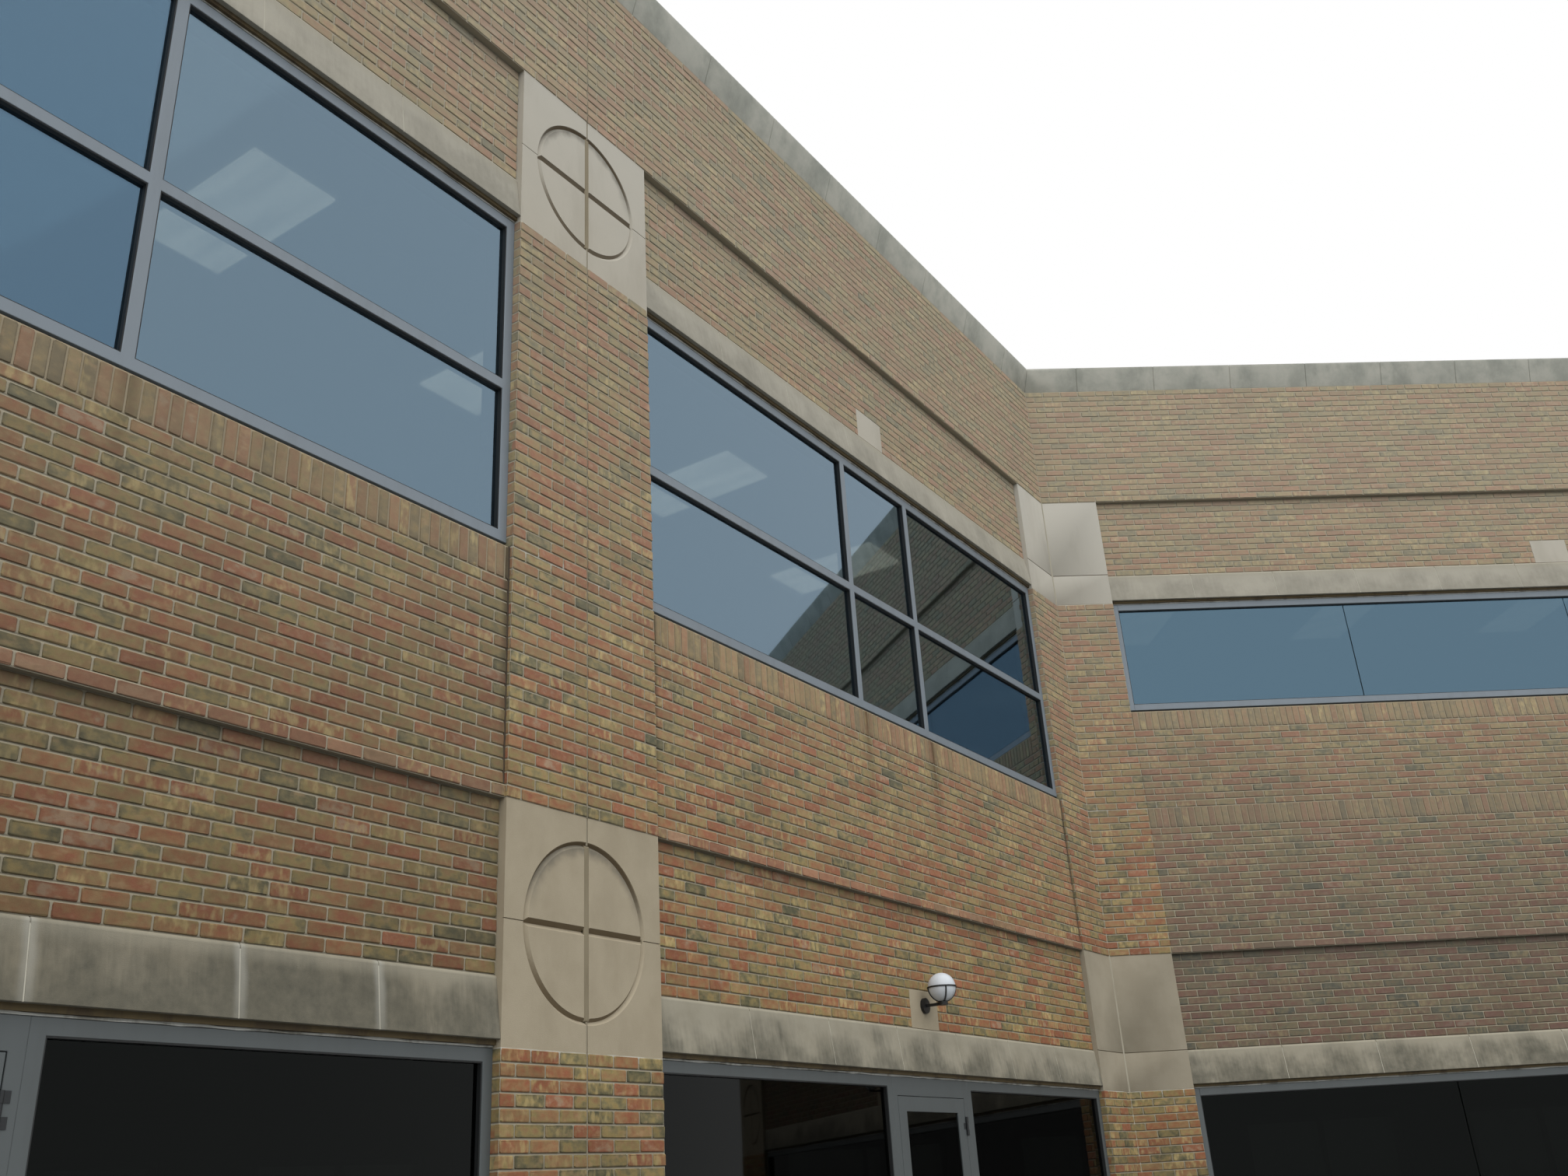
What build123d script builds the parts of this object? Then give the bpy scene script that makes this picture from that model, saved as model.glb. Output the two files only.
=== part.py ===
from build123d import *
from math import cos, pi, radians, sin, tan
import os

# Brick module: one brick and one course, each with its joint
BRICK = 203.2
COURSE = 67.733

# Plan: two straight wings that meet in a corner opening to the front
PIER = 1219.2
HALF_PIER = 609.6
CORNER_BAY = 6197.6
OUTER_BAY = 5588.0
STRIP_BAY = 10058.4
WING_TURN = 52.7
DEPTH = 9000.0
WALL = 304.8

# Heights in courses above the ground, and the rise of one storey
HEAD_COURSE = 35
LINTEL_TOP_COURSE = 40
LEDGE_COURSE = 53
STOREY_COURSES = 72
SILL_COURSE = 74
STRIP_SILL_COURSE = 89
REAR_SILL_COURSE = 17
COPING_COURSE = 146

# Floors, ceiling and roof
FLOOR_TOP = 101.6
UPPER_FLOOR_TOP = 4978.0
UPPER_FLOOR_THICKNESS = 250.0
UPPER_HEADROOM = 2743.2
CEILING_THICKNESS = 30.0
ROOF_VOID = 800.0
ROOF_THICKNESS = 250.0
EXPANSION_JOINT = 20.0

# Set-backs of the brick faces behind the piers
RECESS = 50.0
SPANDREL_SETBACK = 25.0
LEDGE_PROUD = 12.0
CONTROL_JOINT = 12.0
CONTROL_JOINT_DEPTH = 6.0
CORNER_JOINT = 10.0

# Cast stone
PANEL_THICKNESS = 100.0
PANEL_JOINT = 5.0
PANEL_JOINT_DEPTH = 8.0
RING_RADIUS = 457.2
RING_GROOVE_WIDTH = 36.0
RING_GROOVE_DEPTH = 18.0
CROSS_GROOVE_HEIGHT = 45.0
CROSS_GROOVE_DEPTH = 27.0
CROSS_GROOVE_REACH = 463.0
CROSS_RISER_RADIUS = 31.5
CROSS_RISER_DEPTH = 10.0
CROSS_RISER_REACH = 451.0
CORNER_PANEL_JOINT_COURSES = 5
LINTEL_SHOULDER_RUN = 14.0
LINTEL_SHOULDER_DROP = 24.0
LINTEL_LENGTH = 914.4
OUTER_LINTEL_JOINTS = (727.0, 1438.0, 2306.0)
STONE_JOINT = 5.0
STONE_JOINT_DEPTH = 6.0
ACCENT_WIDTH = 406.4
ACCENT_COURSES = 4
ACCENT_PROUD = 6.0
COPING_HEIGHT = 268.0
COPING_NOSE = 30.0
COPING_PROJECTION = 80.0
COPING_BACK = 30.0
COPING_FALL = 25.0
COPING_LENGTH = 900.0

# Steel over the openings and the flashing under the windows
ANGLE_THICKNESS = 25.0
ANGLE_SETBACK = 30.0
SEALANT = 12.0
SEALANT_SETBACK = 62.0
FLASHING_SETBACK = 72.0
FLASHING_HEIGHT = 34.0

# Aluminium window and door frames
FRAME_SETBACK = 50.0
FRAME_FACE = 63.5
FRAME_DEPTH = 115.0
FRAME_JOINT = 0.5
CENTRE_LIGHT = 1041.4
MID_RAIL_COURSES = 15.4
GLASS = 24.0
GLASS_REVEAL = 30.0
BUTT_JOINT = 8.0
STRIP_PANES = 4
REAR_WINDOW = 2400.0
REAR_WINDOW_GAP = 1100.0

# Doors
DOOR_THICKNESS = 44.5
DOOR_HEIGHT = 2133.6
DOOR_FLOOR_GAP = 10.0
DOOR_GAP = 4.0
DOOR_FRAME_STOP = 20.0
DOOR_HINGE_SIDE_GAP = 5.0
DOOR_STILE = 108.0
DOOR_TOP_RAIL = 98.0
DOOR_BOTTOM_RAIL = 254.0
HINGE_LENGTH = 127.0
HINGE_RADIUS = 9.0
HINGE_PLATE = 3.0
HINGE_PLATE_WIDTH = 34.0
HINGE_CLEARANCE = 0.5
HINGE_END = 124.0
HINGES = 3
PULL_HEIGHT = 1060.0
PULL_LENGTH = 305.0
PULL_RADIUS = 12.5
PULL_STANDOFF = 57.0
PUSH_BAR_DROP = 45.0

# Globe lights over the ground floor windows
GLOBE_RADIUS = 101.6
GLOBE_STANDOFF = 160.0
GLOBE_COURSE = 44.1
BACKPLATE_RADIUS = 55.0
BACKPLATE_DEPTH = 22.0
ARM_RADIUS = 11.0
CUP_RADIUS = 34.0
CUP_HEIGHT = 24.0
CAGE_WIDTH = 10.0
CAGE_THICKNESS = 6.0
CAGE_GAP = 0.3
CAGE_HOOPS = 2

# Ceiling lights on the upper storey
FIRST_LIGHT = 1492.0
LIGHT_SPACING = 2438.4
LIGHT_WIDTH = 609.6
LIGHT_LENGTH = 1219.2
LIGHT_DEPTH = 20.0
LIGHT_LINE = 1825.0

# Levels worked out from the courses
HEAD = HEAD_COURSE * COURSE
LINTEL_TOP = LINTEL_TOP_COURSE * COURSE
LEDGE = LEDGE_COURSE * COURSE
STOREY = STOREY_COURSES * COURSE
SILL = SILL_COURSE * COURSE
STRIP_SILL = STRIP_SILL_COURSE * COURSE
REAR_SILL = REAR_SILL_COURSE * COURSE
COPING_BOTTOM = COPING_COURSE * COURSE
LINTEL_BOTTOM = HEAD + SEALANT + ANGLE_THICKNESS
CEILING = UPPER_FLOOR_TOP + UPPER_HEADROOM
ROOF_TOP = CEILING + CEILING_THICKNESS + ROOF_VOID + ROOF_THICKNESS
UPPER_LEDGE = LEDGE + STOREY

# Bays and piers along the entrance wing, left of the corner, and the strip wing, right of it
CORNER_BAY_SPAN = (-HALF_PIER - CORNER_BAY, -HALF_PIER)
MIDDLE_PIER_SPAN = (CORNER_BAY_SPAN[0] - PIER, CORNER_BAY_SPAN[0])
OUTER_BAY_SPAN = (MIDDLE_PIER_SPAN[0] - OUTER_BAY, MIDDLE_PIER_SPAN[0])
OUTER_PIER_SPAN = (OUTER_BAY_SPAN[0] - PIER, OUTER_BAY_SPAN[0])
STRIP_BAY_SPAN = (HALF_PIER, HALF_PIER + STRIP_BAY)
STRIP_PIER_SPAN = (STRIP_BAY_SPAN[1], STRIP_BAY_SPAN[1] + PIER)
ENTRANCE_END = OUTER_PIER_SPAN[0]
STRIP_END = STRIP_PIER_SPAN[1]

# Wall faces: local x runs along the wall to the right as seen from outside, y into the building
TURN = radians(WING_TURN)


def wall_face(corner, heading):
    """The outer face of a wall that starts at a plan corner and runs along a heading in degrees."""
    run = radians(heading)
    return Plane(origin=(corner[0], corner[1], 0), x_dir=(cos(run), sin(run), 0), z_dir=(0, 0, 1))


def plan_point(face, x, y):
    """The plan position of a point given along and into a wall."""
    point = face.from_local_coords(Vector(x, y, 0))
    return (point.X, point.Y)


MITRE_SHIFT = tan(TURN / 2)
ENTRANCE = wall_face((0, 0), 0)
STRIP = wall_face((0, 0), -WING_TURN)
REAR_CORNER = plan_point(ENTRANCE, DEPTH * MITRE_SHIFT, DEPTH)
REAR_ENTRANCE = wall_face(REAR_CORNER, 180)
REAR_STRIP = wall_face(REAR_CORNER, 180 - WING_TURN)
ENTRANCE_GABLE = wall_face(plan_point(ENTRANCE, ENTRANCE_END, 0), -90)
STRIP_GABLE = wall_face(plan_point(STRIP, STRIP_END, 0), 90 - WING_TURN)
REAR_ENTRANCE_LENGTH = -ENTRANCE_END + DEPTH * MITRE_SHIFT
REAR_STRIP_LENGTH = STRIP_END + DEPTH * MITRE_SHIFT

# How far a wall turns at each kind of corner: square, back at the rear, out at the front
SQUARE = 90
REAR_TURN = WING_TURN
FRONT_TURN = -WING_TURN

# A bay is its wall face, its clear span and whether it has a door below
ENTRANCE_BAYS = [(ENTRANCE, CORNER_BAY_SPAN), (ENTRANCE, OUTER_BAY_SPAN)]
STRIP_BAYS = [(STRIP, STRIP_BAY_SPAN)]
ALL_BAYS = ENTRANCE_BAYS + STRIP_BAYS
FULL_PIERS = [(ENTRANCE, OUTER_PIER_SPAN), (ENTRANCE, MIDDLE_PIER_SPAN), (STRIP, STRIP_PIER_SPAN)]


def middle(span):
    return (span[0] + span[1]) / 2


def box(face, x, y, z):
    """A block against a wall, each of x, y and z given as a span."""
    size = [b - a for a, b in (x, y, z)]
    return face.location * Pos(middle(x), middle(y), middle(z)) * Box(*size)


def mitred(shape, face, x, turn, joint, ends=True):
    """A shape that ends, or else starts, at the mitre of a corner, less half the joint there."""
    half = radians(turn) / 2
    along = cos(half) if ends else -cos(half)
    normal = face.x_dir * along + face.y_dir * sin(half)
    mitre = Plane(face.from_local_coords(Vector(x, 0, 0)), z_dir=normal)
    return split(shape, bisect_by=mitre.offset(-joint / 2), keep=Keep.BOTTOM)


def at_front_corner(y, z, joint, ends=(-DEPTH, DEPTH)):
    """A pair of blocks, one along each front wing, meeting at the corner between them."""
    left = box(ENTRANCE, (ends[0], DEPTH), y, z)
    right = box(STRIP, (-DEPTH, ends[1]), y, z)
    return [
        mitred(left, ENTRANCE, 0, FRONT_TURN, joint),
        mitred(right, STRIP, 0, FRONT_TURN, joint, ends=False),
    ]


def moulding(face, span, turns, outline):
    """A section of (into the wall, up) points run along a wall and mitred at both its corners."""
    x_start, x_end = span[0] - DEPTH, span[1] + DEPTH
    start = Plane(face.from_local_coords(Vector(x_start, 0, 0)), x_dir=face.y_dir, z_dir=face.x_dir)
    shape = extrude(start * make_face(Polyline(*outline, close=True)), x_end - x_start)
    shape = mitred(shape, face, span[0], turns[0], STONE_JOINT, ends=False)
    return mitred(shape, face, span[1], turns[1], STONE_JOINT)


def face_joint(face, x, front):
    """A shallow upright joint that follows the front of a stone at x along a wall."""
    outer = [(y - STONE_JOINT_DEPTH, z) for y, z in front]
    inner = [(y + STONE_JOINT_DEPTH, z) for y, z in reversed(front)]
    edge = face.from_local_coords(Vector(x - STONE_JOINT / 2, 0, 0))
    start = Plane(edge, x_dir=face.y_dir, z_dir=face.x_dir)
    return extrude(start * make_face(Polyline(*outer, *inner, close=True)), STONE_JOINT)


# Brick piers, parapets and infill


def control_joint(face, span, z):
    """The cutter for the movement joint up the middle of a pier."""
    x = (middle(span) - CONTROL_JOINT / 2, middle(span) + CONTROL_JOINT / 2)
    return box(face, x, (0, CONTROL_JOINT_DEPTH), z)


def pier_shaft(face, span):
    """A brick pier up to the parapet, pocketed for its stone panels and grooved by its control joint."""
    shaft = box(face, span, (0, WALL), (0, UPPER_LEDGE))
    for bottom in (HEAD, HEAD + STOREY):
        top = bottom + LEDGE - HEAD
        shaft -= box(face, span, (0, PANEL_THICKNESS), (bottom, top))
    for z in ((0, HEAD), (LEDGE, HEAD + STOREY)):
        shaft -= control_joint(face, span, z)
    return shaft


def corner_piers():
    """The two half piers that fold round the corner, with the sealed joint between them."""
    ends = (-HALF_PIER, HALF_PIER)
    pair = at_front_corner((0, WALL), (0, UPPER_LEDGE), CORNER_JOINT, ends)
    for bottom in (HEAD, HEAD + STOREY):
        z = (bottom, bottom + LEDGE - HEAD)
        pocket = at_front_corner((0, PANEL_THICKNESS), z, 0, ends)
        pair = [pier - cut for pier, cut in zip(pair, pocket)]
    return pair


def spandrels():
    """Brick under the upper windows, with the bottom course standing out as a ledge."""
    walls = []
    for face, span in ENTRANCE_BAYS:
        wall = box(face, span, (SPANDREL_SETBACK, WALL), (LEDGE, SILL))
        ledge_front = SPANDREL_SETBACK - LEDGE_PROUD
        wall += box(face, span, (ledge_front, SPANDREL_SETBACK), (LEDGE, LEDGE + COURSE))
        walls.append(wall)
    for face, span in STRIP_BAYS:
        walls.append(box(face, span, (0, WALL), (LEDGE, STRIP_SILL)))
    return walls


def recess_walls():
    """The set-back brick between each lintel and the ledge above it."""
    return [
        box(face, span, (RECESS, WALL), (LINTEL_TOP + rise, LEDGE + rise))
        for face, span in ALL_BAYS
        for rise in (0, STOREY)
    ]


def parapets():
    """The brick band over the upper ledge, flush with the piers and grooved by their joints."""
    z = (UPPER_LEDGE, COPING_BOTTOM)
    left, right = at_front_corner((0, WALL), z, CORNER_JOINT, (ENTRANCE_END, STRIP_END))
    for face, span in FULL_PIERS:
        if face is ENTRANCE:
            left -= control_joint(face, span, z)
        else:
            right -= control_joint(face, span, z)
    return [left, right]


# Cast stone


def ring_groove():
    """The V-shaped cutter for the round groove, turned about the axis that points into the wall."""
    half = RING_GROOVE_WIDTH / 2
    section = [(RING_RADIUS - half, 0), (RING_RADIUS + half, 0), (RING_RADIUS, RING_GROOVE_DEPTH)]
    return revolve(make_face(Polyline(*section, close=True)), Axis.Y)


def level_groove():
    """The deeper V-shaped cutter that runs level across the ring."""
    half = CROSS_GROOVE_HEIGHT / 2
    start = Plane((-CROSS_GROOVE_REACH, 0, 0), x_dir=(0, 1, 0), z_dir=(1, 0, 0))
    section = Polyline((0, half), (CROSS_GROOVE_DEPTH, 0), (0, -half), close=True)
    return extrude(start * make_face(section), 2 * CROSS_GROOVE_REACH)


def circle_panel(face, span, bottom):
    """A square pier panel with a ring groove, a deep level groove and a soft upright one."""
    height = LEDGE - HEAD
    panel = box(face, span, (0, PANEL_THICKNESS), (bottom, bottom + height))
    centre = (middle(span), bottom + height / 2)
    at_centre = face.location * Pos(centre[0], 0, centre[1])
    panel -= at_centre * ring_groove()
    panel -= at_centre * level_groove()
    upright_axis = Pos(0, CROSS_RISER_DEPTH - CROSS_RISER_RADIUS, 0)
    panel -= at_centre * upright_axis * Cylinder(CROSS_RISER_RADIUS, 2 * CROSS_RISER_REACH)
    joint_depth = Pos(0, PANEL_JOINT_DEPTH / 2, 0)
    panel -= at_centre * joint_depth * Box(PIER, PANEL_JOINT_DEPTH, PANEL_JOINT)
    panel -= at_centre * joint_depth * Box(CONTROL_JOINT, PANEL_JOINT_DEPTH, height)
    return panel


def circle_panels():
    return [
        circle_panel(face, span, bottom)
        for face, span in FULL_PIERS
        for bottom in (HEAD, HEAD + STOREY)
    ]


def corner_panels():
    """Plain panels folded round the corner, jointed level with the lintel tops."""
    panels = []
    ends = (-HALF_PIER, HALF_PIER)
    for bottom in (HEAD, HEAD + STOREY):
        z = (bottom, bottom + LEDGE - HEAD)
        seam_middle = bottom + CORNER_PANEL_JOINT_COURSES * COURSE
        seam = (seam_middle - PANEL_JOINT / 2, seam_middle + PANEL_JOINT / 2)
        pair = at_front_corner((0, PANEL_THICKNESS), z, PANEL_JOINT, ends)
        cuts = at_front_corner((0, PANEL_JOINT_DEPTH), seam, 0, ends)
        panels += [panel - cut for panel, cut in zip(pair, cuts)]
    return panels


def lintel_joints(span, measured):
    """Joints at measured distances from the right end of a bay, then even ones over the rest."""
    joints = [span[1] - distance for distance in measured]
    rest = joints[-1] if joints else span[1]
    stones = round((rest - span[0]) / LINTEL_LENGTH)
    pitch = (rest - span[0]) / stones
    return joints + [span[0] + pitch * number for number in range(1, stones)]


def lintel(face, span, rise, joints):
    """A stone lintel whose face leans from the recess out to the pier face at its foot."""
    foot, top = LINTEL_BOTTOM + rise, LINTEL_TOP + rise
    bend = 1 - cos(pi / 4)
    slope_end = (RECESS - LINTEL_SHOULDER_RUN, top - LINTEL_SHOULDER_DROP)
    shoulder = (slope_end[0] + LINTEL_SHOULDER_RUN * bend, top - LINTEL_SHOULDER_DROP * bend)
    corner = (RECESS, top)
    front = [(0, foot), slope_end]
    edges = Polyline(*front) + ThreePointArc(slope_end, shoulder, corner)
    edges += Polyline(corner, (WALL, top), (WALL, foot), (0, foot))
    start = Plane(face.from_local_coords(Vector(span[0], 0, 0)), x_dir=face.y_dir, z_dir=face.x_dir)
    stone = extrude(start * make_face(edges), span[1] - span[0])
    for x in joints:
        stone -= face_joint(face, x, front + [shoulder, corner])
    return stone


def lintels():
    stones = []
    for face, span in ALL_BAYS:
        for rise in (0, STOREY):
            measured = OUTER_LINTEL_JOINTS if span is OUTER_BAY_SPAN and rise == 0 else ()
            stones.append(lintel(face, span, rise, lintel_joints(span, measured)))
    return stones


def accent_blocks():
    """The small stone set over the middle of each lintel."""
    blocks = []
    for face, span in ALL_BAYS:
        x = (middle(span) - ACCENT_WIDTH / 2, middle(span) + ACCENT_WIDTH / 2)
        for rise in (0, STOREY):
            z = (LINTEL_TOP + rise, LINTEL_TOP + rise + ACCENT_COURSES * COURSE)
            blocks.append(box(face, x, (RECESS - ACCENT_PROUD, RECESS), z))
    return blocks


def coping_outline():
    """The coping's section: its face leans out to a nosing and its top falls to the roof."""
    top = COPING_BOTTOM + COPING_HEIGHT
    return [
        (0, COPING_BOTTOM),
        (-COPING_PROJECTION, top - COPING_NOSE),
        (-COPING_PROJECTION, top),
        (WALL + COPING_BACK, top - COPING_FALL),
        (WALL + COPING_BACK, COPING_BOTTOM),
    ]


def coping(face, span, turns, joints):
    """A run of coping stones with the joints between them."""
    outline = coping_outline()
    stones = moulding(face, span, turns, outline)
    for x in joints:
        stones -= face_joint(face, x, outline[:3])
    return stones


def coping_joints(length):
    """Distances from the front corner to each joint along a wing."""
    count = int((length - HALF_PIER) / COPING_LENGTH)
    return [HALF_PIER + COPING_LENGTH * number for number in range(count + 1)]


def front_coping():
    left = [-x for x in coping_joints(-ENTRANCE_END)]
    right = coping_joints(STRIP_END)
    return [
        coping(ENTRANCE, (ENTRANCE_END, 0), (SQUARE, FRONT_TURN), left),
        coping(STRIP, (0, STRIP_END), (FRONT_TURN, SQUARE), right),
    ]


def side_coping():
    """The coping of the rear and end walls."""
    return [
        coping(REAR_ENTRANCE, (0, REAR_ENTRANCE_LENGTH), (REAR_TURN, SQUARE), []),
        coping(REAR_STRIP, (-REAR_STRIP_LENGTH, 0), (SQUARE, REAR_TURN), []),
        coping(ENTRANCE_GABLE, (-DEPTH, 0), (SQUARE, SQUARE), []),
        coping(STRIP_GABLE, (0, DEPTH), (SQUARE, SQUARE), []),
    ]


# Metal over and under the openings


def lintel_angles():
    """Steel plates that carry the stone lintels over each opening."""
    plates = []
    for face, span in ALL_BAYS:
        for rise in (0, STOREY):
            z = (LINTEL_BOTTOM - ANGLE_THICKNESS + rise, LINTEL_BOTTOM + rise)
            plates.append(box(face, span, (ANGLE_SETBACK, WALL), z))
    return plates


def head_sealant():
    """The bead that fills the joint between each window head and its steel."""
    y = (SEALANT_SETBACK, FRAME_SETBACK + FRAME_DEPTH)
    return [
        box(face, span, y, (HEAD + rise, HEAD + SEALANT + rise))
        for face, span in ALL_BAYS
        for rise in (0, STOREY)
    ]


def upper_sill(face):
    return STRIP_SILL if face is STRIP else SILL


def sill_flashings():
    """The dark strip that each upper window stands on."""
    y = (FLASHING_SETBACK, FRAME_SETBACK + FRAME_DEPTH)
    return [
        box(face, span, y, (upper_sill(face), upper_sill(face) + FLASHING_HEIGHT))
        for face, span in ALL_BAYS
    ]


def frontage_kerbs():
    """The concrete kerb between the piers, under the ground floor frames."""
    return [box(face, span, (SPANDREL_SETBACK, WALL), (0, FLOOR_TOP)) for face, span in ALL_BAYS]


# Windows

FRAME_Y = (FRAME_SETBACK, FRAME_SETBACK + FRAME_DEPTH)
GLASS_Y = (FRAME_SETBACK + GLASS_REVEAL, FRAME_SETBACK + GLASS_REVEAL + GLASS)


def cells(edges, bar):
    """The clear spans between bars that are centred on the inner edges of a row."""
    first = edges[0] + bar
    last = edges[-1] - bar
    starts = [first] + [edge + bar / 2 for edge in edges[1:-1]]
    ends = [edge - bar / 2 for edge in edges[1:-1]] + [last]
    return list(zip(starts, ends))


def window(face, columns, rows):
    """A frame with a bar on every inner edge, and the panes that fill it."""
    frame = box(face, (columns[0], columns[-1]), FRAME_Y, (rows[0], rows[-1]))
    panes = []
    for x in cells(columns, FRAME_FACE):
        for z in cells(rows, FRAME_FACE):
            frame -= box(face, x, FRAME_Y, z)
            panes.append(box(face, x, GLASS_Y, z))
    return frame, panes


def centre_columns(span):
    """A wide light, a narrow middle one and a wide light."""
    return [span[0], middle(span) - CENTRE_LIGHT / 2, middle(span) + CENTRE_LIGHT / 2, span[1]]


def upper_windows():
    frames, panes = [], []
    sill = SILL + FLASHING_HEIGHT
    rows = [sill, SILL + MID_RAIL_COURSES * COURSE, HEAD + STOREY]
    for face, span in ENTRANCE_BAYS:
        frame, glass = window(face, centre_columns(span), rows)
        frames.append(frame)
        panes += glass
    return frames, panes


def strip_window(face, span, z):
    """Two jambs, a head and a sill glazed edge to edge, with no bars between the panes."""
    inner_x = (span[0] + FRAME_FACE, span[1] - FRAME_FACE)
    inner_z = (z[0] + FRAME_FACE, z[1] - FRAME_FACE)
    rail_x = (inner_x[0] + FRAME_JOINT, inner_x[1] - FRAME_JOINT)
    frame = [box(face, x, FRAME_Y, z) for x in ((span[0], inner_x[0]), (inner_x[1], span[1]))]
    frame += [box(face, rail_x, FRAME_Y, rail) for rail in ((z[0], inner_z[0]), (inner_z[1], z[1]))]
    pitch = (inner_x[1] - inner_x[0] + BUTT_JOINT) / STRIP_PANES
    starts = [inner_x[0] + pitch * number for number in range(STRIP_PANES)]
    panes = [box(face, (x, x + pitch - BUTT_JOINT), GLASS_Y, inner_z) for x in starts]
    return frame, panes


def strip_windows():
    frames, panes = [], []
    for face, span in STRIP_BAYS:
        upper = (STRIP_SILL + FLASHING_HEIGHT, HEAD + STOREY)
        for z in ((FLOOR_TOP, HEAD), upper):
            frame, glass = strip_window(face, span, z)
            frames += frame
            panes += glass
    return frames, panes


# Entrances: a door between two side lights

DOOR_TOP = FLOOR_TOP + DOOR_FLOOR_GAP + DOOR_HEIGHT


def portal_span(span):
    """From outside to outside of the posts beside a door."""
    half = (CENTRE_LIGHT + FRAME_FACE) / 2
    return (middle(span) - half, middle(span) + half)


def door_frame(face, span):
    """Two posts and a deep head round a door, with a stop behind the leaf."""
    outer = portal_span(span)
    inner = (outer[0] + FRAME_FACE, outer[1] - FRAME_FACE)
    frame = box(face, outer, FRAME_Y, (FLOOR_TOP, HEAD))
    frame -= box(face, inner, FRAME_Y, (FLOOR_TOP, DOOR_TOP + DOOR_GAP))
    stop_y = (FRAME_SETBACK + DOOR_THICKNESS + DOOR_GAP, FRAME_SETBACK + FRAME_DEPTH)
    stop = box(face, inner, stop_y, (FLOOR_TOP, DOOR_TOP + DOOR_GAP))
    stop_inner = (inner[0] + DOOR_FRAME_STOP, inner[1] - DOOR_FRAME_STOP)
    stop -= box(face, stop_inner, stop_y, (FLOOR_TOP, DOOR_TOP + DOOR_GAP - DOOR_FRAME_STOP))
    return frame + stop


def side_lights(face, span):
    """The two fixed windows beside a door."""
    outer = portal_span(span)
    z = [FLOOR_TOP, HEAD]
    left = window(face, [span[0], outer[0]], z)
    right = window(face, [outer[1], span[1]], z)
    return [left[0], right[0]], left[1] + right[1]


def entrances():
    portals, frames, panes = [], [], []
    for face, span in ENTRANCE_BAYS:
        portals.append(door_frame(face, span))
        lights, glass = side_lights(face, span)
        frames += lights
        panes += glass
    return portals, frames, panes


def leaf_span(span):
    outer = portal_span(span)
    return (outer[0] + FRAME_FACE + DOOR_GAP, outer[1] - FRAME_FACE - DOOR_HINGE_SIDE_GAP)


def hinge_pivot(span):
    """The hinge line, just proud of the leaf's outer face, over the gap beside the post."""
    x = leaf_span(span)[1] + DOOR_HINGE_SIDE_GAP / 2
    return (x, FRAME_SETBACK - HINGE_RADIUS)


def hinge_levels():
    low = FLOOR_TOP + DOOR_FLOOR_GAP + HINGE_END
    high = DOOR_TOP - HINGE_END - HINGE_LENGTH
    return [low + (high - low) * number / (HINGES - 1) for number in range(HINGES)]


def knuckle(face, span, z):
    x, y = hinge_pivot(span)
    return face.location * Pos(x, y, middle(z)) * Cylinder(HINGE_RADIUS, z[1] - z[0])


def hinge_halves(face, span):
    """Butt hinges: the outer knuckles and a plate on the post, the middle ones and a plate on the leaf."""
    post, leaf = [], []
    pivot = hinge_pivot(span)
    third = HINGE_LENGTH / 3
    plate_y = (FRAME_SETBACK - HINGE_PLATE, FRAME_SETBACK)
    reach = DOOR_HINGE_SIDE_GAP / 2 + HINGE_PLATE_WIDTH
    near = HINGE_RADIUS * 0.6
    for z in hinge_levels():
        for start in (z, z + 2 * third):
            part = (start + HINGE_CLEARANCE, start + third - HINGE_CLEARANCE)
            plate = box(face, (pivot[0] + near, pivot[0] + reach), plate_y, part)
            post.append(knuckle(face, span, part) + plate)
        part = (z + third + HINGE_CLEARANCE, z + 2 * third - HINGE_CLEARANCE)
        plate = box(face, (pivot[0] - reach, pivot[0] - near), plate_y, part)
        leaf.append(knuckle(face, span, part) + plate)
    return post, leaf


def door_leaf(face, span):
    """A narrow glazed leaf of stiles and rails."""
    x = leaf_span(span)
    y = (FRAME_SETBACK, FRAME_SETBACK + DOOR_THICKNESS)
    z = (FLOOR_TOP + DOOR_FLOOR_GAP, DOOR_TOP)
    pane_x = (x[0] + DOOR_STILE, x[1] - DOOR_STILE)
    pane_z = (z[0] + DOOR_BOTTOM_RAIL, z[1] - DOOR_TOP_RAIL)
    leaf = box(face, x, y, z) - box(face, pane_x, y, pane_z)
    inset = (DOOR_THICKNESS - GLASS) / 2
    pane = box(face, pane_x, (y[0] + inset, y[1] - inset), pane_z)
    return leaf, pane


def door_handles(face, span):
    """A pull on the outside of the free stile and a push bar across the inside."""
    x = leaf_span(span)
    front, back = FRAME_SETBACK, FRAME_SETBACK + DOOR_THICKNESS
    stile = x[0] + DOOR_STILE / 2
    ends = (PULL_HEIGHT - PULL_LENGTH / 2, PULL_HEIGHT + PULL_LENGTH / 2)
    pull = [(stile, front, ends[0]), (stile, front - PULL_STANDOFF, ends[0])]
    pull += [(stile, front - PULL_STANDOFF, ends[1]), (stile, front, ends[1])]
    far_stile = x[1] - DOOR_STILE / 2
    bar_height = PULL_HEIGHT - PUSH_BAR_DROP
    bar = [(stile, back, bar_height), (stile, back + PULL_STANDOFF, bar_height)]
    bar += [(far_stile, back + PULL_STANDOFF, bar_height), (far_stile, back, bar_height)]
    return [bent_bar(face, pull), bent_bar(face, bar)]


def bent_bar(face, points):
    """A round bar bent through a line of points, standing square on the surface it starts from."""
    path = FilletPolyline(*points, radius=2 * PULL_RADIUS)
    section = Plane(origin=path @ 0, z_dir=path % 0) * Circle(PULL_RADIUS)
    return face.location * sweep(section, path=path)


# Globe lights


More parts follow.
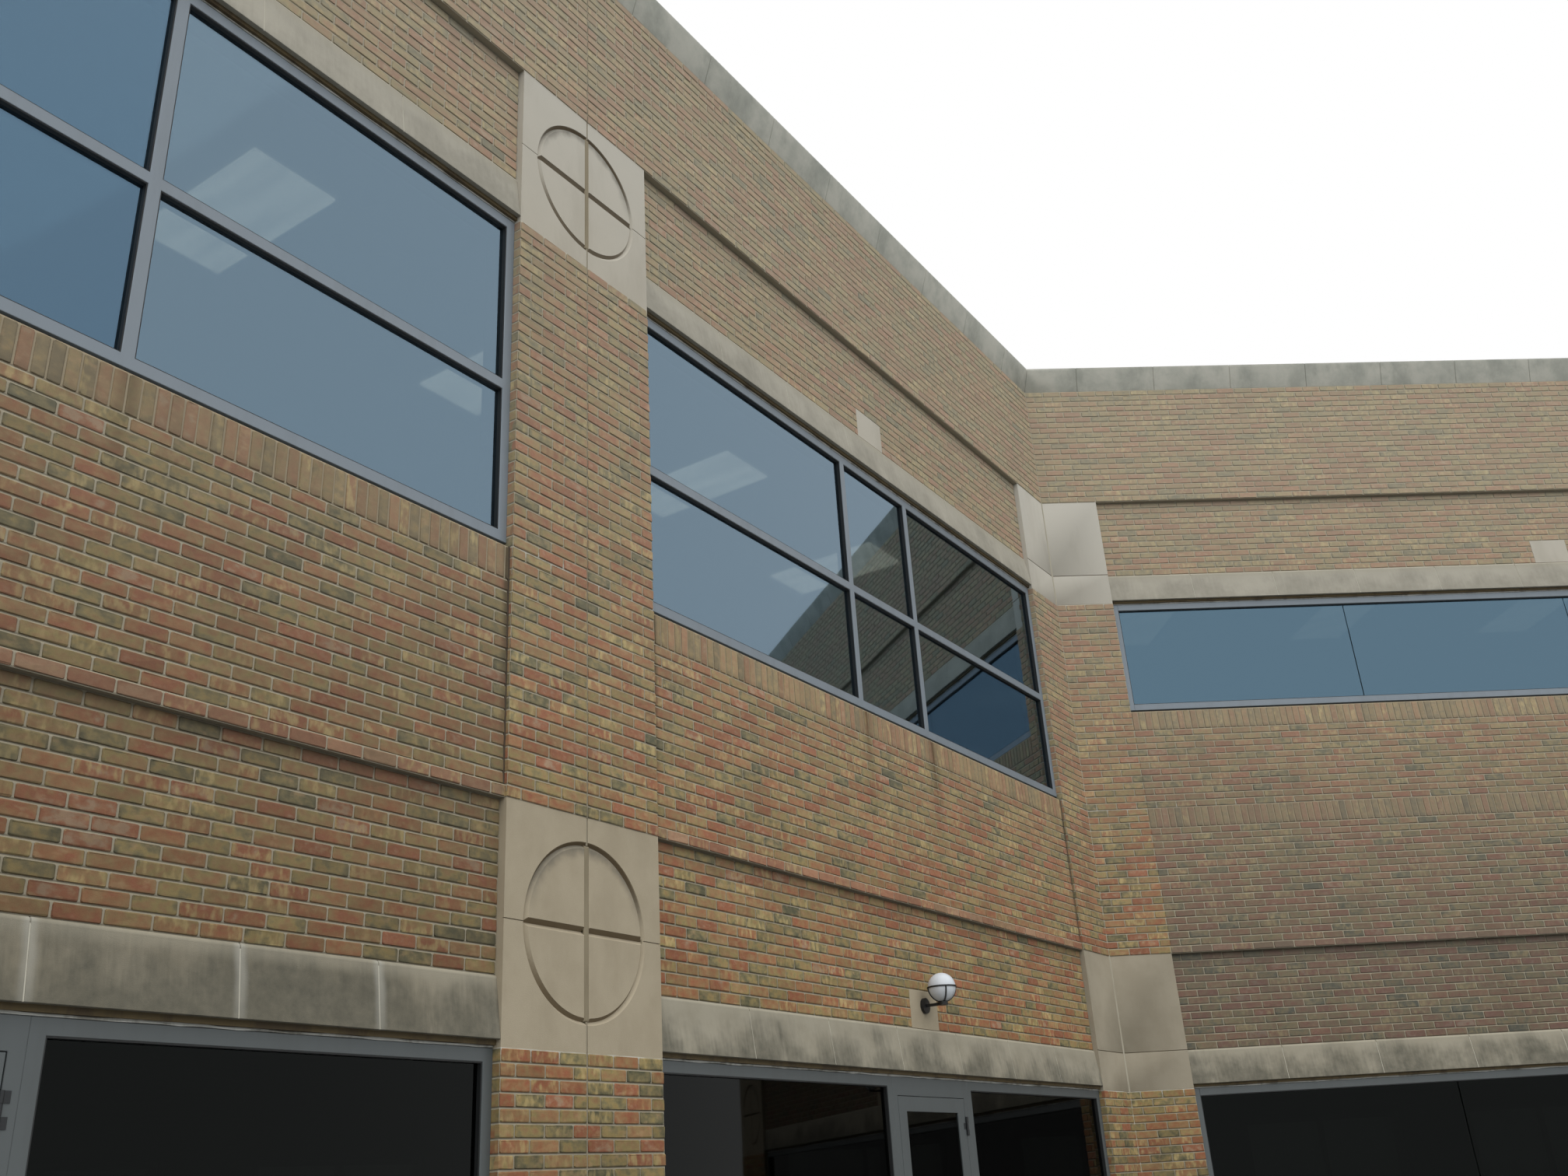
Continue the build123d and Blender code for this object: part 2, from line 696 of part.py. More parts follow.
def cage():
    """A flat ring round the middle of a globe and hoops that cross beneath it."""
    inner = GLOBE_RADIUS + CAGE_GAP
    outer = inner + CAGE_THICKNESS
    band = Cylinder(outer, CAGE_WIDTH) - Cylinder(inner, CAGE_WIDTH)
    hoop = Rot(90, 0, 0) * band
    hoop = split(hoop, bisect_by=Plane.XY, keep=Keep.BOTTOM)
    for number in range(CAGE_HOOPS):
        band += Rot(0, 0, 180 / CAGE_HOOPS * (number + 0.5)) * hoop
    return band


def globe_light(face, span):
    """A back plate and arm that hold a cup, a ring and four ribs under a round globe."""
    wall_y = RECESS - ACCENT_PROUD
    centre = (middle(span), wall_y - GLOBE_STANDOFF, GLOBE_COURSE * COURSE)
    place = face.location * Pos(*centre)
    globe = place * Sphere(GLOBE_RADIUS)
    cup_top = -GLOBE_RADIUS - CAGE_GAP
    cup = Pos(0, 0, cup_top - CUP_HEIGHT / 2) * Cylinder(CUP_RADIUS, CUP_HEIGHT)
    plate = Pos(0, GLOBE_STANDOFF - BACKPLATE_DEPTH / 2, cup_top - CUP_HEIGHT / 2)
    plate *= Rot(90, 0, 0) * Cylinder(BACKPLATE_RADIUS, BACKPLATE_DEPTH)
    arm = Pos(0, GLOBE_STANDOFF / 2, cup_top - CUP_HEIGHT / 2) * Rot(90, 0, 0)
    arm *= Cylinder(ARM_RADIUS, GLOBE_STANDOFF)
    holder = cup + plate + arm + cage()
    return globe, place * holder


def globe_lights():
    pairs = [globe_light(face, span) for face, span in ALL_BAYS]
    return [globe for globe, holder in pairs], [holder for globe, holder in pairs]


# Rear and end walls


def rear_windows(length):
    """The spans of as many equal windows as fit along a wall."""
    pitch = REAR_WINDOW + REAR_WINDOW_GAP
    count = int((length - REAR_WINDOW_GAP) / pitch)
    start = (length - count * pitch + REAR_WINDOW_GAP) / 2
    return [(start + pitch * number, start + pitch * number + REAR_WINDOW) for number in range(count)]


REAR_LEVELS = [(REAR_SILL, HEAD), (STRIP_SILL, HEAD + STOREY)]
REAR_LINTEL = LINTEL_TOP - HEAD


def cut_windows(wall, face, spans):
    for span in spans:
        for z in REAR_LEVELS:
            stone = (z[0], z[1] + REAR_LINTEL)
            wall -= box(face, span, (0, WALL), stone)
    return wall


def plain_lintels(face, spans):
    stones = []
    for span in spans:
        for z in REAR_LEVELS:
            stones.append(box(face, span, (0, WALL), (z[1], z[1] + REAR_LINTEL)))
    return stones


def plain_windows(face, spans):
    frames, panes = [], []
    for span in spans:
        for z in REAR_LEVELS:
            frame, glass = window(face, [span[0], middle(span), span[1]], list(z))
            frames.append(frame)
            panes += glass
    return frames, panes


def flip(spans):
    return [(-b, -a) for a, b in spans]


REAR_SETS = [
    (REAR_ENTRANCE, rear_windows(REAR_ENTRANCE_LENGTH)),
    (REAR_STRIP, flip(rear_windows(REAR_STRIP_LENGTH))),
]
GABLE_SETS = [
    (ENTRANCE_GABLE, flip(rear_windows(DEPTH))),
    (STRIP_GABLE, rear_windows(DEPTH)),
]


def rear_walls():
    z = (0, COPING_BOTTOM)
    left = box(REAR_ENTRANCE, (-DEPTH, REAR_ENTRANCE_LENGTH), (0, WALL), z)
    left = mitred(left, REAR_ENTRANCE, 0, REAR_TURN, 0, ends=False)
    right = box(REAR_STRIP, (-REAR_STRIP_LENGTH, DEPTH), (0, WALL), z)
    right = mitred(right, REAR_STRIP, 0, REAR_TURN, 0)
    return cut_windows(left, *REAR_SETS[0]), cut_windows(right, *REAR_SETS[1])


def gables():
    z = (0, COPING_BOTTOM)
    left = box(ENTRANCE_GABLE, (-DEPTH + WALL, -WALL), (0, WALL), z)
    right = box(STRIP_GABLE, (WALL, DEPTH - WALL), (0, WALL), z)
    return cut_windows(left, *GABLE_SETS[0]), cut_windows(right, *GABLE_SETS[1])


# Floors, ceiling and roof


def slab(z):
    """A floor between the walls of both wings, with an expansion joint at the corner."""
    ends = (ENTRANCE_END + WALL, STRIP_END - WALL)
    return at_front_corner((WALL, DEPTH - WALL), z, EXPANSION_JOINT, ends)


def ceiling_lights():
    """Light panels set under the upper ceiling, in a row along the front windows."""
    y = (LIGHT_LINE - LIGHT_LENGTH / 2, LIGHT_LINE + LIGHT_LENGTH / 2)
    lights = []
    for face, length, way in ((ENTRANCE, -ENTRANCE_END, -1), (STRIP, STRIP_END, 1)):
        count = int((length - WALL - LIGHT_WIDTH / 2 - FIRST_LIGHT) / LIGHT_SPACING) + 1
        for number in range(count):
            x = way * (FIRST_LIGHT + LIGHT_SPACING * number)
            span = (x - LIGHT_WIDTH / 2, x + LIGHT_WIDTH / 2)
            lights.append(box(face, span, y, (CEILING - LIGHT_DEPTH, CEILING)))
    return lights


def building():
    """Every node by name, each with its solids."""
    upper_frames, upper_panes = upper_windows()
    strip_frames, strip_panes = strip_windows()
    portals, light_frames, light_panes = entrances()
    globes, brackets = globe_lights()
    rear_left, rear_right = rear_walls()
    gable_left, gable_right = gables()
    rear_frames, rear_panes, rear_stones = [], [], []
    for face, spans in REAR_SETS + GABLE_SETS:
        frames, panes = plain_windows(face, spans)
        rear_frames += frames
        rear_panes += panes
        rear_stones += plain_lintels(face, spans)
    nodes = {
        "front_piers": [pier_shaft(face, span) for face, span in FULL_PIERS],
        "corner_piers": corner_piers(),
        "spandrel_walls": spandrels(),
        "recess_walls": recess_walls(),
        "front_parapets": parapets(),
        "circle_panels": circle_panels(),
        "corner_panels": corner_panels(),
        "stone_lintels": lintels(),
        "accent_blocks": accent_blocks(),
        "front_coping": front_coping(),
        "side_coping": side_coping(),
        "lintel_angles": lintel_angles(),
        "head_sealant": head_sealant(),
        "sill_flashings": sill_flashings(),
        "frontage_kerbs": frontage_kerbs(),
        "upper_window_frames": upper_frames,
        "upper_window_glass": upper_panes,
        "strip_window_frames": strip_frames,
        "strip_window_glass": strip_panes,
        "door_frames": portals,
        "side_light_frames": light_frames,
        "side_light_glass": light_panes,
        "light_globes": globes,
        "light_brackets": brackets,
        "rear_wall_entrance_wing": [rear_left],
        "rear_wall_strip_wing": [rear_right],
        "end_wall_entrance_wing": [gable_left],
        "end_wall_strip_wing": [gable_right],
        "rear_lintels": rear_stones,
        "rear_window_frames": rear_frames,
        "rear_window_glass": rear_panes,
        "ground_floor": slab((0, FLOOR_TOP)),
        "upper_floor": slab((UPPER_FLOOR_TOP - UPPER_FLOOR_THICKNESS, UPPER_FLOOR_TOP)),
        "upper_ceiling": slab((CEILING, CEILING + CEILING_THICKNESS)),
        "ceiling_lights": ceiling_lights(),
        "roof_slab": slab((ROOF_TOP - ROOF_THICKNESS, ROOF_TOP)),
    }
    post_hinges = []
    for number, (face, span) in enumerate(ENTRANCE_BAYS, start=1):
        leaf, pane = door_leaf(face, span)
        on_post, on_leaf = hinge_halves(face, span)
        post_hinges += on_post
        nodes[f"door_{number}_leaf"] = [leaf]
        nodes[f"door_{number}_glass"] = [pane]
        nodes[f"door_{number}_handles"] = door_handles(face, span)
        nodes[f"door_{number}_hinges"] = on_leaf
    nodes["post_hinges"] = post_hinges
    return nodes


def centred(nodes):
    """Every node moved so that the whole stands on its middle, at ground level."""
    whole = Compound([solid for solids in nodes.values() for shape in solids for solid in shape.solids()])
    bounds = whole.bounding_box()
    shift = Pos(-(bounds.min.X + bounds.max.X) / 2, -(bounds.min.Y + bounds.max.Y) / 2, 0)
    for number, (face, span) in enumerate(ENTRANCE_BAYS, start=1):
        x, y = plan_point(face, *hinge_pivot(span))
        print("door", number, "hinge", round(x + shift.position.X, 3), round(y + shift.position.Y, 3))
    print("corner", round(shift.position.X, 3), round(shift.position.Y, 3), "size", bounds.size)
    return {name: [shift * shape for shape in shapes] for name, shapes in nodes.items()}


def main():
    os.makedirs("parts", exist_ok=True)
    for name, shapes in centred(building()).items():
        solids = [solid for shape in shapes for solid in shape.solids()]
        export_step(Compound(solids), f"parts/{name}.step")


main()
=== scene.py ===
"""The looks of a two-storey brick hospital building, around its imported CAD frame."""
import math
from types import SimpleNamespace

import bpy
from mathutils import Matrix, Vector


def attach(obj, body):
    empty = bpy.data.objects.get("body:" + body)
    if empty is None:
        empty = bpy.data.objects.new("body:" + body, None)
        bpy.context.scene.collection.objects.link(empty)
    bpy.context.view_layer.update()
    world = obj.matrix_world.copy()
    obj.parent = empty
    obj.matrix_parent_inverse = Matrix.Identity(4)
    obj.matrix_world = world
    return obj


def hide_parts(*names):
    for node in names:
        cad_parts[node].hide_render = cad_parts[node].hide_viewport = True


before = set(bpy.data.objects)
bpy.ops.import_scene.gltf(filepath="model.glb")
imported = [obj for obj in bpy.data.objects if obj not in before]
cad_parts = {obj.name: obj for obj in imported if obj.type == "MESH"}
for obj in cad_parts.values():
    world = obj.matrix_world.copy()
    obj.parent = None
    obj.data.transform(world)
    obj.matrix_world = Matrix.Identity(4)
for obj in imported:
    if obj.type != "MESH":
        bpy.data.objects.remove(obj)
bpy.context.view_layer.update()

# Brick module and joints, in metres
BRICK = 0.2032
COURSE = 0.067733
JOINT = 0.011
BRICK_DEPTH = 0.030
BRICK_PROUD = 0.005
BRICK_ARRIS = 0.003
BRICK_CORNER = 0.006
BRICK_WEAR = 0.0016

# The corner where the wings meet, and how far the strip wing turns away
CORNER = Vector((0.220429, 0.242963, 0))
WING_TURN = math.radians(52.7)
ENTRANCE_WALL = Matrix.Translation(CORNER)
STRIP_WALL = Matrix.Translation(CORNER) @ Matrix.Rotation(-WING_TURN, 4, "Z")
ALONG_ENTRANCE = (1.0, 0.0, 0.0)
ALONG_STRIP = (math.cos(WING_TURN), -math.sin(WING_TURN), 0.0)

# Places along each wing in bricks from the corner, the entrance wing to its left
OUTER_PIER = (-73, -67)
OUTER_BAY = (-67, -39.5)
MIDDLE_PIER = (-39.5, -33.5)
CORNER_BAY = (-33.5, -3)
LEFT_HALF_PIER = (-3, 0)
RIGHT_HALF_PIER = (0, 3)
STRIP_BAY = (3, 52.5)
STRIP_PIER = (52.5, 58.5)
WINGS = (("entrance", ENTRANCE_WALL, (CORNER_BAY, OUTER_BAY)), ("strip", STRIP_WALL, (STRIP_BAY,)))

# Levels in courses above the ground, and how many make a storey
HEAD = 35
LINTEL_TOP = 40
RING_LEVEL = 44
ACCENT_TOP = 44
LEDGE = 53
SILL = 74
STRIP_SILL = 89
COPING = 146
STOREY = 72
SOLDIER_COURSES = 3
SOLDIERS = (SILL - SOLDIER_COURSES, SILL)
STRIP_SOLDIERS = (STRIP_SILL - SOLDIER_COURSES, STRIP_SILL)
HEAD_HEIGHT = HEAD * COURSE
STOREY_HEIGHT = STOREY * COURSE

# Set-backs behind the pier faces
SPANDREL_SETBACK = 0.025
LEDGE_PROUD = 0.012
RECESS = 0.050

# Width of the narrow middle light of each entrance wing window
CENTRE_LIGHT = 1.0414

# Radius of the ring on each circle panel
RING_RADIUS = 0.4572

# Foot and height of the ground floor lintels
LINTEL_FOOT = 2.4077
LINTEL_HEIGHT = 0.3016

# Distances of the outer bay's ground floor lintel joints from the middle pier
OUTER_LINTEL_JOINTS = (0.727, 1.438, 2.306)

# The camera's place from the corner in metres, its turns in radians and its lens in millimetres
CAMERA_PLACE = Vector((-12.9790, -4.9626, 1.6133))
CAMERA_YAW = 0.9970
CAMERA_PITCH = 0.4179
CAMERA_ROLL = -0.0631
CAMERA_LENS = 31.79
CAMERA_SENSOR = 36.0
CAMERA_REACH = 500


def middle(span):
    return (span[0] + span[1]) / 2


def around(centre, width):
    """A span of a width with its middle at a point."""
    return centre - width / 2, centre + width / 2


def in_metres(span, unit=BRICK):
    return span[0] * unit, span[1] * unit


# Shader helpers


class Signal:
    """What a node gives out. Node sums of signals are written as plain sums."""

    def __init__(self, socket):
        self.socket = socket
        self.tree = socket.id_data

    def __add__(self, other):
        return maths("ADD", self, other)

    def __radd__(self, other):
        return maths("ADD", other, self)

    def __sub__(self, other):
        return maths("SUBTRACT", self, other)

    def __rsub__(self, other):
        return maths("SUBTRACT", other, self)

    def __mul__(self, other):
        return maths("MULTIPLY", self, other)

    def __truediv__(self, other):
        return maths("DIVIDE", self, other)


def tree_of(values):
    """The node tree of the first signal among some values."""
    return next(value.tree for value in values if isinstance(value, Signal))


def set_inputs(node, inputs):
    """Sets each input to its value, or links it to its signal."""
    for key, value in dict(inputs).items():
        if isinstance(value, Signal):
            node.id_data.links.new(value.socket, node.inputs[key])
        else:
            node.inputs[key].default_value = value


def add_node(tree, kind, inputs=(), **settings):
    node = tree.nodes.new(kind)
    for key, value in settings.items():
        setattr(node, key, value)
    set_inputs(node, inputs)
    return node


def outputs(node):
    """A node's outputs by name."""
    return {socket.name: Signal(socket) for socket in node.outputs}


def worked_out(kind, output, inputs, **settings):
    """One output of a node that takes signals."""
    node = add_node(tree_of(dict(inputs).values()), kind, inputs, **settings)
    return Signal(node.outputs[output])


def maths(operation, *values):
    return worked_out("ShaderNodeMath", 0, dict(enumerate(values)), operation=operation)


def vector_maths(operation, *values):
    output = "Value" if operation in ("DOT_PRODUCT", "LENGTH") else "Vector"
    return worked_out("ShaderNodeVectorMath", output, dict(enumerate(values)), operation=operation)


def scaled(vector, factor):
    return worked_out("ShaderNodeVectorMath", "Vector", {0: vector, "Scale": factor}, operation="SCALE")


def stretched(place, *factors):
    return vector_maths("MULTIPLY", place, factors)


def combined(x=0.0, y=0.0, z=0.0):
    return worked_out("ShaderNodeCombineXYZ", "Vector", {"X": x, "Y": y, "Z": z})


def parted(vector):
    return outputs(add_node(vector.tree, "ShaderNodeSeparateXYZ", {"Vector": vector}))


def blend(factor, first, second):
    """A number between two others."""
    return worked_out("ShaderNodeMix", 0, {0: factor, 2: first, 3: second}, data_type="FLOAT")


def mix_vector(factor, first, second):
    return worked_out("ShaderNodeMix", 1, {0: factor, 4: first, 5: second}, data_type="VECTOR")


def mix_colour(factor, first, second):
    return worked_out("ShaderNodeMix", 2, {0: factor, 6: first, 7: second}, data_type="RGBA")


def fade(value, low, high):
    """0 below low, 1 above high and smooth between."""
    return worked_out("ShaderNodeMapRange", "Result", {"Value": value, "From Min": low, "From Max": high},
                      interpolation_type="SMOOTHSTEP")


def ranged(value, low, high):
    """A number from 0 to 1 spread between two others."""
    return value * (high - low) + low


def between(value, low, high):
    """1 between two numbers and 0 outside them."""
    return maths("GREATER_THAN", value, float(low)) * maths("LESS_THAN", value, float(high))


def noise(place, scale, detail=3.0, rough=0.5):
    return worked_out("ShaderNodeTexNoise", "Fac",
                      {"Vector": place, "Scale": scale, "Detail": detail, "Roughness": rough})


def colour_ramp(value, steps):
    """Turns 0 to 1 into colours that run into each other, each from its own place."""
    node = add_node(value.tree, "ShaderNodeValToRGB", {"Fac": value})
    ramp = node.color_ramp
    ramp.interpolation = "LINEAR"
    while len(ramp.elements) < len(steps):
        ramp.elements.new(1.0)
    for element, (start, tone) in zip(ramp.elements, steps):
        element.position = start
        element.color = linear(*tone)
    return Signal(node.outputs["Color"])


def bump(height, distance, strength=1.0):
    return worked_out("ShaderNodeBump", "Normal",
                      {"Height": height, "Distance": distance, "Strength": strength})


def true_normal(tree):
    return Signal(add_node(tree, "ShaderNodeNewGeometry").outputs["True Normal"])


SOCKET_KINDS = {1: "NodeSocketFloat", 3: "NodeSocketVector", 4: "NodeSocketColor"}
NUMBER = 0.0
PLACE = (0.0, 0.0, 0.0)
COLOUR = (0.0, 0.0, 0.0, 1.0)


def new_group(name, inputs, results):
    """A node group with its named sockets. Gives back what goes into it."""
    tree = bpy.data.node_groups.new(name, "ShaderNodeTree")
    for way, sockets in (("INPUT", inputs), ("OUTPUT", results)):
        for label, value in sockets.items():
            kind = SOCKET_KINDS[len(value) if isinstance(value, tuple) else 1]
            tree.interface.new_socket(label, in_out=way, socket_type=kind).default_value = value
    return outputs(tree.nodes.new("NodeGroupInput"))


def close_group(results):
    """Sends a group's results to its outputs."""
    tree = tree_of(results.values())
    set_inputs(tree.nodes.new("NodeGroupOutput"), results)
    return tree


def use_group(group, inputs):
    return outputs(add_node(tree_of(inputs.values()), "ShaderNodeGroup", inputs, node_tree=group))


def linear(red, green, blue):
    """A colour seen as 0 to 255 on screen, as the shader takes it."""
    return tuple(((c / 255 + 0.055) / 1.055) ** 2.4 for c in (red, green, blue)) + (1.0,)


def darker(colour, level):
    return tuple(c * level for c in colour[:3]) + (1.0,)


# Brick tones as they look in soft daylight, from dark olive through buff and orange to pink
BRICK_TONES = [
    (0.00, (88, 88, 69)),
    (0.10, (106, 101, 76)),
    (0.22, (128, 118, 86)),
    (0.33, (149, 132, 88)),
    (0.43, (149, 124, 87)),
    (0.55, (149, 115, 82)),
    (0.68, (150, 106, 75)),
    (0.80, (148, 93, 69)),
    (0.90, (155, 109, 84)),
    (1.00, (162, 133, 109)),
]
LEDGE_TONES = [
    (0.00, (158, 118, 92)),
    (0.35, (149, 102, 79)),
    (0.60, (164, 130, 104)),
    (0.85, (144, 116, 88)),
]
PALE_PATCH = linear(172, 144, 108)
PALE_SPOTS = linear(188, 168, 118)
SOLDIER_TAN = linear(152, 129, 100)
MORTAR = linear(172, 165, 147)
OLD_MORTAR = linear(142, 133, 113)
SOLDIER_MORTAR = linear(150, 137, 114)
LIME = linear(184, 181, 170)
# Soot: the colour of real dirt, and also of the painted shade under the ledges and at the bay ends
SOOT_AND_SHADE = linear(70, 62, 50)
GREY_FILM = linear(78, 80, 80)
RUST_RUN = linear(96, 66, 44)
# Pale tones: one for the pale efflorescence streak under a globe and the painted haze on the brick, one for
# the painted haze on the stone
PALE_STAIN_AND_HAZE = linear(178, 171, 154)
STONE_HAZE_PALE = linear(190, 187, 178)

# Bed joints washed white by lime from the stone and sills over them
LIME_BEDS = (HEAD, SILL, HEAD + STOREY)

# Heights in metres that weather and painted light fade between: splashed dirt at the foot, grime, and the
# painted paling towards the top that stands in for haze, on brick and on stone
SPLASHED = (0.9, 2.7)
GRIMY = (3.6, 7.0)
BRICK_HAZE_HEIGHTS = (2.2, 9.8)
STONE_HAZE_HEIGHTS = (3.5, 9.8)

# Courses under each ledge over which painted shade fades in towards the ledge
UNDER_LEDGE_SHADE_ROWS = (LEDGE - 3.0, LEDGE + 0.5)

# How much of its colour each kind of weather lays over the brick, and how much painted shade under the
# ledges and painted haze towards the top
UNDER_LEDGE_SHADE = 0.40
SPLASHED_DIRT = 0.44
RUN_DIRT = 0.14
HAZE_AMOUNT = 0.50

# How far a brick's outline blurs, and how far its ends and rims turn to olive, in metres
OUTLINE_BLUR = 0.0012
OLIVE_ENDS = 0.034
OLIVE_RIMS = 0.018

# How far a brick's tone moves along the ramp: by its two draws, over its face, at its ends and rims
TONE_START = 0.08
TONE_DRAWS = (0.58, 0.30)
TONE_DRIFT = 0.95
TONE_ENDS = -0.09
TONE_RIMS = -0.06

# Light and dark: brick by brick, in soft mottles, in fine grit, and painted shade along the foot of each
# brick
BRICK_LEVELS = (0.78, 1.05)
MOTTLE_LEVELS = (0.80, 1.20)
GRIT_LEVELS = (0.82, 1.18)
FOOT_SHADE_LEVELS = (0.81, 1.01)

# How light the joints are: upright ones, and the shaded upper and lit lower halves of the beds
UPRIGHT_LEVEL = 0.94
SHADED_LEVEL = 0.54
LIT_LEVEL = 1.16


# Effects that several materials share


def make_grain():
    """Fine even grit, and wide soft blotches."""
    given = new_group("grain", {"Place": PLACE, "Scale": 200.0}, {"Fine": NUMBER, "Blotch": NUMBER})
    return close_group({
        "Fine": noise(given["Place"], given["Scale"], 2.0),
        "Blotch": noise(given["Place"], given["Scale"] * 0.012, 4.0, 0.6)})


def make_runs():
    """Marks that rain draws down a face, as a mask."""
    given = new_group("rain_runs", {"Place": PLACE, "Width": 6.0, "Length": 0.8}, {"Mask": NUMBER})
    parts = parted(given["Place"])
    drawn = combined(parts["X"] * given["Width"], parts["Y"] * given["Width"], parts["Z"] * given["Length"])
    return close_group({"Mask": fade(noise(drawn, 1.0, 5.0, 0.62), 0.47, 0.66)})


grain = make_grain()
runs = make_runs()


def grit(place, scale):
    return use_group(grain, {"Place": place, "Scale": scale})


def run_mask(place, width, length):
    return use_group(runs, {"Place": place, "Width": width, "Length": length})["Mask"]


def make_wing_run():
    """How far along its own wing a point lies, and how high, both from the corner."""
    given = new_group("wing_run", {"Place": PLACE, "By Facing": 0.0, "Returns": 0.0},
                      {"Along": NUMBER, "Up": NUMBER})
    place = vector_maths("SUBTRACT", given["Place"], tuple(CORNER))
    parts = parted(place)
    wing = mix_vector(maths("GREATER_THAN", parts["X"], 0.0), ALONG_ENTRANCE, ALONG_STRIP)
    facing = true_normal(place.tree)
    across = vector_maths("CROSS_PRODUCT", (0, 0, 1), facing)
    square_on = maths("ABSOLUTE", vector_maths("DOT_PRODUCT", facing, wing))
    on_return = maths("GREATER_THAN", square_on, 0.8) * given["Returns"]
    turned = maths("MAXIMUM", on_return, given["By Facing"])
    by_wing = vector_maths("DOT_PRODUCT", place, wing)
    by_facing = vector_maths("DOT_PRODUCT", place, across)
    return close_group({"Along": blend(turned, by_wing, by_facing), "Up": parts["Z"]})


wing_run = make_wing_run()


def spread_out(run):
    """A point's place on its wall laid flat."""
    return combined(x=run["Along"], z=run["Up"])


def make_streak():
    """A stain that starts under a point and thins out downwards."""
    given = new_group(
        "streak",
        {"Along": 0.0, "Up": 0.0, "Centre": 0.0, "Top": 0.0, "Width": 0.1, "Length": 1.0}, {"Mask": NUMBER})
    drop = given["Top"] - given["Up"]
    below = maths("GREATER_THAN", drop, 0.0)
    thinning = 1.0 - fade(drop / given["Length"], 0.05, 1.0)
    wander = noise(combined(z=given["Up"]), 2.5) * 0.08 - 0.04
    off = maths("ABSOLUTE", given["Along"] - given["Centre"] + wander)
    side = 1.0 - fade(off / given["Width"], 0.1, 1.0)
    return close_group({"Mask": below * thinning * side})


streak = make_streak()


def streak_mask(run, along, top, width, length):
    return use_group(streak, {"Along": run["Along"], "Up": run["Up"], "Centre": along, "Top": top,
                              "Width": width, "Length": length})["Mask"]


def from_edge(value, unit):
    """How far through its unit a point lies, and how far it is from the nearer end in metres."""
    part = maths("FRACT", value)
    return part, maths("MINIMUM", part, 1.0 - part) * unit


def lay_out_bond(given):
    """What a point's place in the bond says: its row, its brick's draws and how far off the edges are."""
    run = use_group(wing_run, {key: given[key] for key in ("Place", "By Facing", "Returns")})
    along, up = run["Along"], run["Up"]
    rows = up / COURSE
    even = 1.0 - maths("FLOORED_MODULO", maths("FLOOR", rows), 2.0)
    soldier = (between(rows, *SOLDIERS) + between(rows, *STRIP_SOLDIERS)) * given["Soldiers"]
    columns = blend(soldier, even * 0.5 + along / BRICK, along / COURSE)
    standing = (rows - float(SOLDIERS[0])) / float(SOLDIER_COURSES)
    rows_here = blend(soldier, rows, standing)
    number = combined(maths("FLOOR", columns), maths("FLOOR", rows_here), soldier)
    draws = worked_out("ShaderNodeTexWhiteNoise", "Color", {"Vector": number}, noise_dimensions="3D")
    draw = outputs(add_node(number.tree, "ShaderNodeSeparateColor", {"Color": draws}))
    edge_along = from_edge(columns, soldier * (COURSE - BRICK) + BRICK)[1]
    part_up, edge_up = from_edge(rows_here, soldier * (BRICK - COURSE) + COURSE)
    spread = spread_out(run)
    shifted = vector_maths("ADD", spread, scaled(draws, 7.0))
    return SimpleNamespace(
        up=up, rows=rows, soldier=soldier, spread=spread, shifted=shifted,
        red=draw["Red"], green=draw["Green"], blue=draw["Blue"],
        part_up=part_up, edge_along=edge_along, edge_up=edge_up)


def brick_outline(bond, joints):
    """1 on a brick's face: a rectangle with rounded corners and a slightly ragged outline."""
    reach = JOINT / 2 + BRICK_CORNER
    past_along = maths("MAXIMUM", reach - bond.edge_along, 0.0)
    past_up = maths("MAXIMUM", reach - bond.edge_up, 0.0)
    outside = maths("SQRT", past_along * past_along + past_up * past_up)
    outside = outside + (noise(bond.spread, 80.0, 2.0) * 0.004 - 0.002)
    body = 1.0 - fade(outside, BRICK_CORNER - OUTLINE_BLUR, BRICK_CORNER + OUTLINE_BLUR)
    return maths("MAXIMUM", body, 1.0 - joints)


def brick_colour(bond, ledges):
    """Each brick's tone, which drifts across its face and turns to olive towards its ends."""
    drift = noise(stretched(bond.shifted, 15.0, 1.0, 21.0), 1.0, 3.0, 0.55)
    ends = 1.0 - fade(bond.edge_along, JOINT / 2, OLIVE_ENDS)
    rims = 1.0 - fade(bond.edge_up, JOINT / 2, OLIVE_RIMS)
    tone = bond.red * TONE_DRAWS[0] + TONE_START + bond.green * TONE_DRAWS[1] + (drift - 0.5) * TONE_DRIFT
    colour = colour_ramp(tone + ends * TONE_ENDS + rims * TONE_RIMS, BRICK_TONES)
    colour = mix_colour(bond.soldier * 0.42, colour, SOLDIER_TAN)
    upper_ledge = LEDGE + STOREY
    ledge = between(bond.rows, LEDGE, LEDGE + 1) + between(bond.rows, upper_ledge, upper_ledge + 1)
    ledge_tone = bond.green + (drift * 0.6 - 0.3)
    colour = mix_colour(ledge * ledges, colour, colour_ramp(ledge_tone, LEDGE_TONES))
    patches = fade(noise(stretched(bond.shifted, 19.0, 1.0, 30.0), 1.0, 3.0), 0.50, 0.72)
    patched = fade(bond.blue, 0.30, 0.85) * 0.55
    colour = mix_colour(patches * patched, colour, PALE_PATCH)
    spots = fade(noise(stretched(bond.shifted, 30.0, 1.0, 15.0), 1.0, 2.0), 0.44, 0.70)
    spotted = fade(maths("FRACT", bond.green * 9.7), 0.58, 0.88) * 0.72
    return mix_colour(spots * spotted, colour, PALE_SPOTS)


